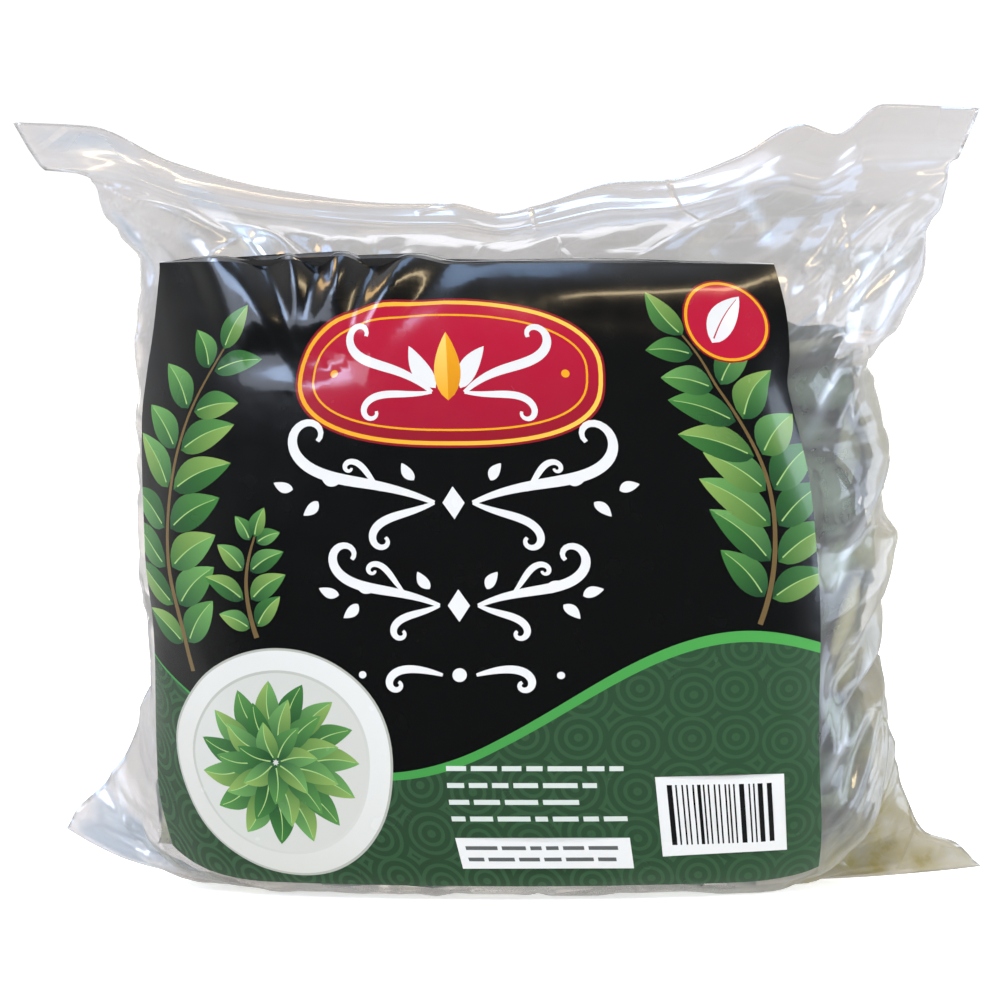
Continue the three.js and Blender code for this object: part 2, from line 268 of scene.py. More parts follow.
# Smooth point of the film: a superellipse across, raised towards the side folds, with the top
# edge's sag and lean added further up
def filmPoint(across, level, face):
    across, level, face = np.broadcast_arrays(across, level, face)
    across, level = across.astype(float), level.astype(float)
    isLeft = across < 0
    width, height, tuck = [np.where(isLeft, a(level), b(level)) for a, b in zip(leftAt, rightAt)]
    u = np.abs(across)
    depth = depthAt(level) * np.where(face > 0, 1, film["backShare"])
    x, y = quarterPoint(u, width, depth, roundnessAt(level))
    sag = clamp((level - film["sagFrom"]) / (film["length"] - film["sagFrom"])) ** 2
    lift = clamp((u - 0.5) / 0.5) ** 3 * (1 - sag)
    z = mix(filmLevels(level), height, lift) + (topEdgeAt(across) - topEdgeAt(0)) * sag
    x = x - tuck * clamp((u - 0.86) / 0.14)
    return np.stack([np.sign(across) * x, leanAt(across, level) - face * y, z], axis=-1)


# Outward direction: the cross product of the steps across and up, turned out by the face
def outwardAt(across, level, face):
    sideways = filmPoint(across + 0.01, level, face) - filmPoint(across - 0.01, level, face)
    upwards = filmPoint(across, level + 1, face) - filmPoint(across, level - 1, face)
    out = np.cross(sideways, upwards) * np.asarray(face)[..., None]
    return out / np.linalg.norm(out, axis=-1, keepdims=True)


wrinkles = {
    "seed": 11,
    "cells": [[46, 1.9], [24, 0.5], [12, 0.08]],  # facet size and height
    "slantCells": [[64, 19, 1.2, 0.9], [54, 16, 0.9, -0.7]],  # long facets: length, width, height, slant
    "randomCreases": 110,
    "creaseLevels": [6, 222],
    "creaseLength": [26, 80],
    "creaseHeight": [0.25, 0.85],
    "creaseWidth": [2.2, 6.0],
    "puckerLevels": [22.0, 214.0],
    "puckerGap": [14, 34],
    "puckerHeight": [0.5, 1.9],
    "puckerWidth": [4, 8],
    "puckerReach": [12, 42],
    "fanCorners": [[212.0, -1], [16.0, 1]],  # level of the upper and lower ears, and the way it runs
    "fanAngles": [9, 24, 41, 60],
    "fanFrom": [10, 22],
    "fanTo": [52, 92],
    "fanHeight": [0.6, 1.7],
    "fanWidth": [3, 8],
    "sealRidges": [225.5, 231.5],  # the heat seal's two edges, by level
    "sealRidgeHeight": 0.18,
    "sealRidgeWidth": 1.4,
    "inset": 0.4,  # the wrinkles' middle lies this far inside the smooth surface
    "underLabel": 0.1,  # what is left of them where the label stiffens the film
}
random = np.random.default_rng(wrinkles["seed"])
creaseTable = random.uniform(-1, 1, size=(6, 64, 64))


# Height of crumpled facets: random heights on a grid, joined by flat triangles, so that ridges
# run along the triangles' sides. columnCount makes it close round the bag.
def facets(x, y, layer, columnCount=None):
    table = creaseTable[layer]
    bentX = x + 0.32 * np.sin(2.1 * y + layer) + 0.16 * np.sin(4.7 * y + 2 * x)
    bentY = y + 0.32 * np.sin(1.7 * x + 2 * layer) if columnCount is None else y
    bentX = bentX if columnCount is None else x + 0.3 * np.sin(2.3 * y + layer)
    i, j = np.floor(bentX).astype(int), np.floor(bentY).astype(int)
    fx, fy = bentX - i, bentY - j
    wrap = columnCount or 64
    a, b = table[i % wrap % 64, j % 64], table[(i + 1) % wrap % 64, j % 64]
    c, d = table[i % wrap % 64, (j + 1) % 64], table[(i + 1) % wrap % 64, (j + 1) % 64]
    lowLeft = a + fx * (b - a) + fy * (c - a)
    highRight = d + (1 - fx) * (c - d) + (1 - fy) * (b - d)
    oneWay = np.where(fx + fy < 1, lowLeft, highRight)
    otherWay = np.where(fx > fy, a + fx * (b - a) + fy * (d - b), a + fy * (c - a) + fx * (d - c))
    return np.where((i + j) % 2 == 0, oneWay, otherWay)


# Creases as rows of [across, level, across, level, half width, height], all on the front.
# The first ones cross the label's upper left corner, where the film is dented.
labelCreases = [
    [-0.94, 232, -0.42, 168, 13.0, 1.8],
    [-0.72, 214, -0.37, 168, 10.0, -2.8],
    [-0.60, 216, -0.39, 170, 8.0, 2.6],
    [-0.49, 214, -0.41, 170, 7.0, -2.4],
    [-0.36, 214, -0.42, 171, 8.0, 2.3],
    [-0.25, 212, -0.40, 172, 8.0, -2.0],
    [-0.13, 210, -0.37, 174, 9.0, 1.7],
    [-0.02, 206, -0.30, 178, 8.0, -0.9],
    [-0.60, 173, -0.30, 171, 9.0, -1.8],
    [-0.84, 214, -0.60, 172, 6.0, 0.9],
    [0.06, 190, 0.58, 187, 9.0, 0.8],
    [0.52, 176, 0.62, 128, 10.0, 0.9],
    [0.30, 196, 0.50, 160, 11.0, -0.5],
    [-0.70, 150, -0.82, 96, 10.0, 0.7],
    [-0.60, 60, -0.80, 100, 11.0, -0.5],
    [0.20, 44, 0.48, 58, 9.0, 0.4],
]
filmCreases = [
    [0.86, 92, 0.62, 52, 6.0, 2.0],
    [0.94, 80, 0.70, 40, 5.0, -1.6],
    [0.98, 66, 0.74, 30, 5.0, 1.8],
    [0.90, 170, 0.72, 150, 5.0, 1.6],
    [1.30, 168, 0.76, 167, 6.0, -5.0],
    [1.32, 76, 0.74, 78, 7.0, -8.4],
    [1.06, 120, 0.64, 100, 12.0, 2.3],
    [1.05, 102, 0.68, 84, 8.0, -2.6],
    [1.05, 150, 0.62, 130, 12.0, 2.2],
    [1.04, 134, 0.68, 116, 8.0, -2.2],
    [1.02, 62, 0.66, 36, 10.0, 2.4],
    [1.02, 76, 0.70, 46, 3.0, 1.8],
    [0.99, 62, 0.66, 34, 3.0, -1.6],
    [0.98, 50, 0.70, 22, 2.6, 1.4],
    [0.95, 214, 0.60, 182, 3.0, 2.4],
    [0.99, 200, 0.66, 176, 3.0, -1.6],
    [0.84, 196, 0.64, 170, 2.4, 1.2],
    [0.74, 204, 0.70, 176, 2.4, -1.2],
    [-1.0, 15, -0.80, 24, 3.0, 2.0],
    [-0.98, 9, -0.76, 18, 2.6, -1.8],
    [-0.96, 24, -0.82, 10, 3.0, 1.5],
    [-0.92, 32, -0.86, 6, 3.0, -1.5],
    [-0.88, 14, -0.70, 30, 3.0, 1.4],
    [-1.08, 92, -0.86, 95, 6.0, -2.0],
    [-1.08, 196, -0.84, 190, 6.0, -2.2],
    [0.99, 163, 0.72, 176, 5.0, 1.7],
    [0.80, 216, 0.62, 184, 5.0, 1.8],
    [0.92, 212, 0.76, 176, 5.0, -1.6],
    [0.70, 220, 0.52, 196, 6.0, -1.6],
    [0.56, 222, 0.36, 198, 6.0, 1.5],
    [0.38, 218, 0.22, 200, 6.0, -1.3],
    [0.16, 216, 0.02, 199, 5.0, 1.2],
    [-0.99, 226, -0.66, 196, 6.0, 1.8],
    [-0.95, 208, -0.74, 184, 6.0, -1.7],
    [-0.98, 186, -0.86, 150, 5.0, 1.4],
    [-0.99, 20, -0.62, 44, 6.0, 2.0],
    [-0.97, 10, -0.56, 34, 6.0, -1.8],
    [-0.90, 4, -0.40, 26, 6.0, 1.6],
    [0.98, 12, 0.60, 40, 6.0, -1.8],
    [0.96, 4, 0.48, 28, 6.0, 1.8],
]


# Random creases: short and level near the side folds, slanted towards the ears elsewhere
def scatterCreases(count):
    place = random.uniform(0, 4, count)
    level = random.uniform(*wrinkles["creaseLevels"], count)
    toFold = np.abs((place % 2) - 1)  # 1 at a fold, 0 at the middle of a face
    length = random.uniform(*wrinkles["creaseLength"], count) * mix(1, 0.7, toFold)
    angle = random.normal(0, 0.35, count)
    angle += np.where(toFold > 0.6, 0, random.choice([-1.0, 1.0, 1.5], count))
    rise, run = length * np.sin(angle) / 2, length * np.cos(angle) / 2 / film["halfFace"]
    height = random.uniform(*wrinkles["creaseHeight"], count) * random.choice([-1, 1], count)
    width = random.uniform(*wrinkles["creaseWidth"], count)
    return np.stack([place - run, level - rise, place + run, level + rise, width, height], axis=1)


# Puckers across both side folds, where the film has length to spare
def foldPuckers():
    rows = []
    for fold in (0.0, 2.0):
        level, highest = wrinkles["puckerLevels"]
        sign = 1
        while level < highest:
            level += random.uniform(*wrinkles["puckerGap"])
            before, after = random.uniform(*wrinkles["puckerReach"], 2) / film["halfFace"]
            slantBefore, slantAfter = random.uniform(-9, 9, 2)
            height = sign * random.uniform(*wrinkles["puckerHeight"])
            width = random.uniform(*wrinkles["puckerWidth"])
            rows.append([
                fold - before, level + slantBefore, fold + after, level + slantAfter, width, height,
            ])
            sign = -sign if random.uniform() < 0.75 else sign
    return rows


# Fans of creases from the four ears, on both faces. Each starts near its ear and runs at its own
# angle between the seal and the side fold.
def earFans():
    rows = []
    for fold in (0.0, 2.0):
        for corner, upwards in wrinkles["fanCorners"]:
            for into in (1, -1):
                sign = random.choice([-1, 1])
                for angle in np.radians(wrinkles["fanAngles"]):
                    angle += random.uniform(-0.1, 0.1)
                    near, far = random.uniform(*wrinkles["fanFrom"]), random.uniform(*wrinkles["fanTo"])
                    run, rise = math.cos(angle) / film["halfFace"] * into, math.sin(angle) * upwards
                    height = sign * random.uniform(*wrinkles["fanHeight"])
                    width = random.uniform(*wrinkles["fanWidth"])
                    rows.append([
                        fold + near * run, corner + near * rise, fold + far * run, corner + far * rise,
                        width, height,
                    ])
                    sign = -sign
    return rows


# Rows that count across from the middle of the front, as rows that count places round the bag
def frontCreases(rows):
    rows = np.array(rows, dtype=float)
    rows[:, [0, 2]] += 1
    return rows


# Sum of tents along the creases: height falls in a straight line from the crease to its half
# width, and to nothing at its two ends. A rounded fold goes as (1 - (aside / width)^2)^2 instead.
def creaseHeight(place, level, rows, rounded=False):
    total = np.zeros_like(place)
    for fromPlace, fromLevel, toPlace, toLevel, width, height in rows:
        middle = (fromPlace + toPlace) / 2
        x = ((place - middle + 2) % 4 - 2) * film["halfFace"]
        y = level - (fromLevel + toLevel) / 2
        dx, dy = (toPlace - fromPlace) * film["halfFace"], toLevel - fromLevel
        length = math.hypot(dx, dy)
        along = (x * dx + y * dy) / length
        aside = (x * dy - y * dx) / length
        near = (np.abs(along) < length / 2) & (np.abs(aside) < width)
        if near.any():
            ends = 1 - (2 * along[near] / length) ** 2
            if rounded:
                tent = (1 - (aside[near] / width) ** 2) ** 2
            else:
                tent = clamp(1 - (np.sqrt(aside[near] ** 2 + 0.2 ** 2) - 0.2) / width)
            total[near] += height * clamp(ends) ** 0.8 * tent
    return total


scattered = np.concatenate([scatterCreases(wrinkles["randomCreases"]), foldPuckers(), earFans()])
handFilmCreases = frontCreases(filmCreases)
handLabelCreases = frontCreases(labelCreases)


# across and face of a place: place - 1 on the front and 3 - place on the back
def acrossOf(place):
    place = place % 4
    return np.where(place <= 2, place - 1, 3 - place), np.where(place <= 2, 1, -1)


# 0 under the label and 1 from 7 mm outside it
def freeOfLabel(place, level):
    across, face = acrossOf(place)
    bottom, top = film["labelLevels"]
    beside = np.maximum(labelLeftAt(level) - across, across - labelRightAt(level)) * film["halfFace"]
    beyond = np.maximum(beside, np.maximum(bottom - level, level - top))
    return np.where(face > 0, smooth(beyond / 7), 1)


# Height of the film above its smooth surface. place is the way round the bag, from 0 at the
# left fold over the front to 2 at the right fold and over the back to 4.
def wrinkleAt(place, level):
    place, level = np.broadcast_arrays(place, level)
    place, level = place % 4.0, level.astype(float)
    free = mix(wrinkles["underLabel"], 1, freeOfLabel(place, level))
    toFold = np.abs((place % 2) - 1)
    foldDistance = (1 - toFold) * film["halfFace"]
    x = place * film["halfFace"]
    crumpled = np.zeros_like(x)
    for layer, (size, height) in enumerate(wrinkles["cells"]):
        columns = round(4 * film["halfFace"] / size)
        crumpled += height * facets(place * columns / 4, level / size, layer, columns)
    offFold = smooth(foldDistance / 14)
    for layer, (length, width, height, slant) in enumerate(wrinkles["slantCells"]):
        along = x * math.cos(slant) + level * math.sin(slant)
        aside = level * math.cos(slant) - x * math.sin(slant)
        crumpled += offFold * height * facets(along / length, aside / width, layer + 3)
    # the facets are calmer in the empty head and towards the side folds
    headroom = mix(0.7, 0.8, smooth((level - 165) / 20)) * mix(1, 0.6, smooth((level - 195) / 20))
    headroom = headroom * mix(0.5, 1, smooth(foldDistance / 26))
    total = crumpled * headroom
    total += creaseHeight(place, level, scattered) + creaseHeight(place, level, handFilmCreases)
    total = total * free + creaseHeight(place, level, handLabelCreases, rounded=True)
    # everything is calmer in the top band and at the bottom edge
    calm = mix(0.22, 1, smooth((228 - level) / 14)) * mix(0.25, 1, smooth((level - 3) / 12))
    ridges = sum(
        wrinkles["sealRidgeHeight"] * clamp(1 - np.abs(level - seal) / wrinkles["sealRidgeWidth"])
        for seal in wrinkles["sealRidges"]
    )
    return total * calm + ridges - wrinkles["inset"]


# Point of the wrinkled film moved out by a distance. Further in, the wrinkles fade.
def bagPoint(place, level, distance=0.0):
    place, level, distance = np.broadcast_arrays(place, level, distance)
    across, face = acrossOf(place)
    fade = clamp(1 + distance / 14)
    height = distance + wrinkleAt(place, level) * fade
    return filmPoint(across, level, face) + outwardAt(across, level, face) * height[..., None]


# A function of places and levels worked out in parts, which keeps its arrays small
def inParts(pointAt, parts, place, level, *rest):
    pieces = zip(np.array_split(place, parts), np.array_split(level, parts))
    return np.concatenate([pointAt(p, l, *rest) for p, l in pieces])


# Point inside the bag by a distance, closed up towards the side folds as the leaves are
def insidePoint(place, level, distance):
    place, level, distance = np.broadcast_arrays(place, level, distance)
    across, face = acrossOf(place)
    reached = np.sign(across) * np.minimum(np.abs(across), insideReachAt(level))
    heldPlace = np.where(face > 0, reached + 1, 3 - reached)
    point = bagPoint(heldPlace, level, -distance)
    lean = leanAt(reached, level)
    closing = np.sqrt(1 - clamp((np.abs(across) - 0.92) / 0.08) ** 2)
    halfDepth = np.maximum(face * (lean - point[..., 1]), 0.15)
    point[..., 1] = lean - face * closing * halfDepth
    return point


filmLook = {
    "columns": 208,  # faces across one side of the bag
    "rowStep": 1.06,
    "tint": "#e5e1de",  # what the clear film lets through
    "hazeAndSheen": "#e9e9e9",  # its slight milkiness
    "dust": "#b9ad75",  # crushed leaf that clings to the inside of the film, low on the right
    "roughness": 0.08,
    "sheen": 0.3,  # roughness of the soft sheen round the sharp highlight
    "mostMirrored": 0.36,  # share of the light that the film mirrors at most
    "paleMirrored": 0.26,  # what a whitened fold mirrors besides
    "pale": "#dde7f1",  # milkiness of a whitened fold, bluish as a painted highlight
    "paleTint": "#edf1f6",  # and what it lets through, lighter as part of the painted highlight
    # folds whitened by stress, which also stand in as painted highlights of the cool windows, as rows of
    # [across, level, across, level, half width, milkiness]
    "paleFoldsAndHighlights": [
        [-0.67, 240, -0.57, 188, 6.5, 0.5],
        [-0.98, 236, -0.74, 236, 4.5, 0.4],
        [-0.96, 212, -0.92, 190, 3.5, 0.35],
        [-0.80, 205, -0.70, 194, 3.5, 0.25],
        [-0.99, 12, -0.74, 26, 11.0, 0.6],
        [-0.99, 5, -0.78, 7, 6.0, 0.45],
        [0.52, 230, 0.59, 200, 2.4, 0.4],
        [0.81, 198, 0.77, 170, 3.4, 0.4],
        [0.90, 196, 0.86, 174, 2.6, 0.35],
        [0.59, 174, 0.93, 203, 0.9, 0.4],
        [0.66, 148, 0.84, 174, 2.4, 0.25],
        [0.70, 110, 0.92, 142, 3.0, 0.25],
        [0.68, 58, 0.90, 90, 3.0, 0.25],
    ],
}


# Clear cast polypropylene film: nearly colourless, glossy, slightly milky where it is creased, with pale
# bluish milky folds that are partly painted highlights
def clearFilmMaterial():
    material, tree = newMaterial("clear_polypropylene_film")
    place = addNode(tree, "ShaderNodeTexCoord").outputs["Object"]
    # flat facets between creases, about 38 mm wide and 85 mm tall, and 31 mm wide and 14 mm
    # tall: each cell of a pattern leans its own way, by the product of its random colour and the
    # way from its centre
    heights = []
    for scale, lean, squeeze in ((26.0, 0.13, (1.0, 1.0, 0.45)), (54.0, 0.045, (0.6, 1.0, 1.35))):
        squeezed = vectorMaths(tree, "MULTIPLY", place, squeeze)
        cells = addNode(tree, "ShaderNodeTexVoronoi", None, {"Vector": squeezed, "Scale": scale})
        way = vectorMaths(tree, "SUBTRACT", squeezed, cells.outputs["Position"])
        leaning = vectorMaths(tree, "SUBTRACT", cells.outputs["Color"], (0.5, 0.5, 0.5))
        raised = vectorMaths(tree, "DOT_PRODUCT", way, leaning)
        heights.append(maths(tree, "MULTIPLY", raised, lean))
    # hard little creases: ridges 1.6 mm wide and 0.3 mm high on the borders of cells about
    # 26 mm wide, where a slow noise lets them through
    skewed = addNode(tree, "ShaderNodeMapping", {"vector_type": "POINT"}, {
        "Vector": place, "Rotation": (0.3, 0.6, 0.2), "Scale": (1.0, 0.7, 0.75),
    })
    borders = addNode(tree, "ShaderNodeTexVoronoi", {"feature": "DISTANCE_TO_EDGE"}, {
        "Vector": skewed.outputs["Vector"], "Scale": 38.0,
    })
    ridge = moved(tree, borders.outputs["Distance"], (0.0, 0.03), (0.0003, 0.0))
    slow = noiseAt(tree, place, 34.0, Detail=1.0)
    heights.append(maths(tree, "MULTIPLY", ridge, moved(tree, slow, (0.48, 0.56), (0.0, 1.0))))
    height = heights[0]
    for more in heights[1:]:
        height = maths(tree, "ADD", height, more)
    bump = addNode(tree, "ShaderNodeBump", None, {"Strength": 1.0, "Distance": 1.0, "Height": height})
    normal = bump.outputs["Normal"]
    # pale marks the whitened folds, which are partly painted highlights: lighter, bluish milk and more
    # gloss
    pale = addNode(tree, "ShaderNodeAttribute", {"attribute_name": "pale"}).outputs["Fac"]
    tint = mixColours(tree, pale, linearColour(filmLook["tint"]), linearColour(filmLook["paleTint"]))
    clear = addNode(tree, "ShaderNodeBsdfTransparent", None, {"Color": tint})
    # a sharp highlight with a soft sheen round it
    sharp, sheen = [
        addNode(tree, "ShaderNodeBsdfGlossy", None, {
            "Color": (1, 1, 1, 1), "Roughness": roughness, "Normal": normal,
        }).outputs["BSDF"]
        for roughness in (filmLook["roughness"], filmLook["sheen"])
    ]
    # whitened folds, partly painted highlights, have more of the soft sheen
    gloss = mixShaders(tree, maths(tree, "MULTIPLY_ADD", pale, 0.5, 0.4), sharp, sheen)
    # the dust lies in soft patches about 7 mm across
    dust = addNode(tree, "ShaderNodeAttribute", {"attribute_name": "dust"}).outputs["Fac"]
    patches = noiseAt(tree, place, 140.0, Detail=4.0, Roughness=0.65)
    dusty = maths(tree, "MULTIPLY", dust, moved(tree, patches, (0.36, 0.64), (0.5, 1.0)))
    milk = mixColours(tree, dusty, linearColour(filmLook["hazeAndSheen"]), linearColour(filmLook["dust"]))
    # the whitened folds' bluish milk is a painted highlight
    milk = mixColours(tree, pale, milk, linearColour(filmLook["pale"]))
    # the milkiness shows as much of the light in front as of the light behind
    scattered, passed = [
        addNode(tree, kind, None, {"Color": milk, "Normal": normal}).outputs["BSDF"]
        for kind in ("ShaderNodeBsdfDiffuse", "ShaderNodeBsdfTranslucent")
    ]
    milky = mixShaders(tree, 0.5, scattered, passed)
    hazeAndSheen = addNode(tree, "ShaderNodeAttribute", {"attribute_name": "hazeAndSheen"}).outputs["Fac"]
    cloud = maths(tree, "MULTIPLY_ADD", dusty, 0.75, hazeAndSheen, clamped=True)
    body = mixShaders(tree, cloud, clear.outputs["BSDF"], milky)
    edge = addNode(tree, "ShaderNodeFresnel", None, {"IOR": 1.49, "Normal": normal}).outputs["Fac"]
    twice = maths(tree, "MULTIPLY", edge, 1.8)  # both faces of the film reflect
    capped = maths(tree, "MINIMUM", twice, filmLook["mostMirrored"])
    mirrored = maths(tree, "MULTIPLY_ADD", pale, filmLook["paleMirrored"], capped)
    shown = mixShaders(tree, mirrored, body, gloss)
    addNode(tree, "ShaderNodeOutputMaterial", None, {"Surface": shown})
    return material


# The bag as one tube of film: rings of places at even levels, closed across at both ends
def buildFilm():
    half = filmLook["columns"]
    around = 2 * half
    rowCount = round(film["length"] / filmLook["rowStep"])
    places, levels = np.meshgrid(np.arange(around) * 4 / around, np.linspace(0, film["length"], rowCount))
    flatPlace = places.ravel()
    flatLevel = levels.ravel()
    points = inParts(bagPoint, 8, flatPlace, flatLevel)
    points[:, 2] = np.maximum(points[:, 2], 0)
    i, j = np.meshgrid(np.arange(rowCount - 1), np.arange(around), indexing="ij")
    a, b = i * around + j, i * around + (j + 1) % around
    walls = np.stack([a, b, b + around, a + around], axis=-1).reshape(-1, 4)
    k = np.arange(1, half - 1)
    caps = []
    for start, up in ((0, False), ((rowCount - 1) * around, True)):
        quads = np.stack([start + k, start + k + 1, start + around - k - 1, start + around - k], axis=1)
        ends = np.array([
            [start, start + 1, start + around - 1],
            [start + half - 1, start + half, start + half + 1],
        ])
        caps += [quads, ends] if up else [quads[:, ::-1], ends[:, ::-1]]
    piece = addPiece("clear_film", points, [walls, *caps], clearFilmMaterial())
    # milkier along sharp creases, at the folds and in the two seals; milkier on the right of the front as
    # painted sheen, and at the whitened folds as painted highlights
    height = wrinkleAt(flatPlace, flatLevel).reshape(rowCount, around)
    bend = np.abs(np.roll(height, 1, 1) + np.roll(height, -1, 1) - 2 * height)
    bend[1:-1] += np.abs(height[2:] + height[:-2] - 2 * height[1:-1])
    across, face = acrossOf(flatPlace)
    toFold = np.abs(across)
    hazeAndSheen = 0.15 + 0.09 * smooth((flatLevel - 165) / 30) + 0.16 * clamp(bend.ravel() / 0.6)
    hazeAndSheen += 0.07 * ((np.abs(flatLevel - 228.5) < 3.2) | (flatLevel < film["bottomSeal"]))
    hazeAndSheen += 0.14 * smooth((toFold - 0.75) / 0.2) * smooth((40 - flatLevel) / 25)
    fromFold = (1 - toFold) * film["halfFace"]
    hazeAndSheen += 0.08 * smooth((toFold - 0.72) / 0.25) + 0.08 * clamp(1 - fromFold / 2.5)
    # the front's right part is milkier and so lighter: painted sheen
    hazeAndSheen += 0.06 * smooth((across - 0.55) / 0.1) * (face > 0)
    # whitened folds, partly painted highlights placed where the windows would shine
    whitenedAndHighlit = creaseHeight(flatPlace, flatLevel, frontCreases(filmLook["paleFoldsAndHighlights"]), rounded=True)
    hazeAndSheen += whitenedAndHighlit
    # the dust lies low on the right, thinly along the bottom, and up the right margin
    dust = smooth((across - 0.45) / 0.3) * smooth((66 - flatLevel) / 40)
    dust *= 1 - 0.35 * smooth((across - 0.93) / 0.05)
    dust = np.maximum(dust, 0.35 * smooth((36 - flatLevel) / 26) * smooth((across + 0.7) / 0.5))
    dust = np.maximum(dust, 0.6 * smooth((across - 0.8) / 0.08) * smooth((178 - flatLevel) / 20))
    dust = dust * mix(0.75, 1, smooth(flatLevel / 9))
    for name, values in (("hazeAndSheen", hazeAndSheen), ("dust", dust), ("pale", smooth(whitenedAndHighlit / 0.3))):
        attribute = piece.data.attributes.new(name, "FLOAT", "POINT")
        attribute.data.foreach_set("value", values.astype(np.float32))
    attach(piece, "root")
    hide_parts("film_bag")
    return piece


filmPiece = buildFilm()
print("film made:", len(filmPiece.data.polygons), "faces")

leaves = {
    "seed": 5,
    "byFilm": 430,  # leaflets against the film
    "inEar": 34,
    "onTop": 120,
    "onTopScale": 0.92,
    "length": [24, 46],
    "earLength": [18, 30],
    "widthShare": [0.3, 0.42],
    # ranges of fold, bow, curl and twist
    "byFilmShape": [[-0.25, 0.35], [-1, 3.2], [-1.1, 1.1], [-0.05, 0.05]],
    "inEarShape": [[-0.1, 0.2], [-1, 1.5], [-0.5, 0.5], [-0.03, 0.03]],
    "onTopShape": [[-0.2, 0.4], [-1, 4], [-1.2, 1.2], [-0.06, 0.06]],
    "thickness": 0.4,
    "goldenStep": 0.618034,
    "coreInset": 8.5,
    "tones": ["#73897a", "#8b9f8b", "#63796a", "#96a083", "#50645a", "#a3a482", "#788d7f", "#98aca2"],
    "sideDrop": 12.0,  # the heap's top is lower at its sides
    "earTone": "#cdc8a2",
    # the heart's dark colour is painted shade of the leaves deep in the heap
    "core": "#3a3f2f",
}
leafRandom = np.random.default_rng(leaves["seed"])


# Turned about z: x cos(turn) - y sin(turn) and x sin(turn) + y cos(turn)
def turned(x, y, turn):
    cosine, sine = np.cos(turn)[:, None], np.sin(turn)[:, None]
    return x * cosine - y * sine, x * sine + y * cosine


# Points of one leaflet per row of the tables, before it is placed: x along the rib, y to the
# side, z above it. The half width goes as sin(pi t^0.85)^0.8, the two halves fold up along
# the rib, the rib bows and the rim curls.
def leafletPoints(length, share, fold, bow, curl, twist):
    t = np.array([0.04, 0.2, 0.42, 0.64, 0.84])
    s = np.array([-1, -0.5, 0, 0.5, 1])
    t, s = [a.ravel() for a in np.meshgrid(t, s, indexing="ij")]
    t = np.concatenate([[0], t, [1]])
    s = np.concatenate([[0], s, [0]])
    inner = np.abs(s) < 0.9
    inner[[0, -1]] = False
    layerT = np.concatenate([t, t[inner]])
    layerS = np.concatenate([s, s[inner]])
    layer = np.concatenate([np.where(inner, 0.5, 0), -np.full(inner.sum(), 0.5)]) * leaves["thickness"]
    t, s = layerT[None], layerS[None]
    length, share, fold, bow, curl, twist = [a[:, None] for a in (length, share, fold, bow, curl, twist)]
    width = np.sin(math.pi * t ** 0.85) ** 0.8 * share * length / 2
    x = (t - 0.5) * length
    y = s * width
    z = fold * np.abs(s) * width - bow * (2 * t - 1) ** 2 + curl * np.sin(7 * t + 3 * s) * np.abs(s)
    z = z + twist * x * s + layer
    return x, y, z, layerS, layerT


# Leaflets of random length, width and shape, before they are placed
def drawLeaflets(count, lengths, shape, scale=1.0):
    draw = leafRandom.uniform
    length = draw(*lengths, count) * scale
    share = draw(*leaves["widthShare"], count)
    return leafletPoints(length, share, *[draw(*limits, count) for limits in shape])


# Faces of one leaflet: a fan at each tip and quads between, on both sides, sharing the rim. Its
# points are the near tip, five rows of five, the far tip and then the inner ones of the under side.
def leafletFaces():
    farTip = 26
    top = 1 + np.arange(25).reshape(5, 5)
    under = top.copy()
    under[:, 1:4] = farTip + 1 + np.arange(15).reshape(5, 3)
    quads, triangles = [], []
    for at, flip in ((top, False), (under, True)):
        for j in range(4):
            ends = [[0, at[0, j], at[0, j + 1]], [farTip, at[4, j + 1], at[4, j]]]
            sides = [[at[i, j], at[i + 1, j], at[i + 1, j + 1], at[i, j + 1]] for i in range(4)]
            triangles += [e if flip else e[::-1] for e in ends]
            quads += [q[::-1] if flip else q for q in sides]
    return np.array(quads), np.array(triangles)


# Half depth of the bag's inside at a place given by x and height: d (1 - |x / W|^n)^(1 / n)
def roomAt(x, z):
    table = np.linspace(30, 222, 400)
    level = np.interp(z, filmLevels(table), table)
    width = np.where(x < 0, leftAt[0](level), rightAt[0](level))
    exponent = roundnessAt(level)
    return depthAt(level) * (1 - clamp(np.abs(x) / width) ** exponent) ** (1 / exponent)


# Dried curry leaflet: matt, brittle, grey-green with a paler rib and browned patches
def driedLeafMaterial():
    material, tree = newMaterial("dried_curry_leaf")
    place = addNode(tree, "ShaderNodeTexCoord").outputs["Object"]
    tone = addNode(tree, "ShaderNodeAttribute", {"attribute_name": "tone"}).outputs["Color"]
    uv = addNode(tree, "ShaderNodeUVMap", {"uv_map": "blade"})
    # mottling in patches of about 4 mm
    patches = noiseAt(tree, place, 150.0, Detail=3.0, Roughness=0.55)
    mottled = moved(tree, patches, (0.45, 0.75), (0.0, 0.45))
    brown = mixColours(tree, mottled, tone, linearColour("#b39a6e"), "MULTIPLY")
    # side veins about 2.5 mm apart, swept towards the tip
    split = addNode(tree, "ShaderNodeSeparateXYZ", None, {"Vector": uv.outputs["UV"]})
    aside = maths(tree, "ABSOLUTE", split.outputs["X"])
    swept = maths(tree, "MULTIPLY_ADD", aside, -0.16, split.outputs["Y"])
    veins = maths(tree, "SINE", maths(tree, "MULTIPLY", swept, 82.0))
    veined = moved(tree, veins, (0.7, 1.0), (0.0, 0.22))
    colour = mixColours(tree, veined, brown, linearColour("#a8a988"))
    grain = maths(tree, "MULTIPLY_ADD", veins, 0.25, patches)
    bump = addNode(tree, "ShaderNodeBump", None, {"Strength": 0.6, "Distance": 0.0006, "Height": grain})
    shader = addNode(tree, "ShaderNodeBsdfPrincipled", None, {
        "Base Color": colour, "Roughness": 0.62, "IOR": 1.42, "Normal": bump.outputs["Normal"],
    })
    addNode(tree, "ShaderNodeOutputMaterial", None, {"Surface": shader.outputs["BSDF"]})
    return material


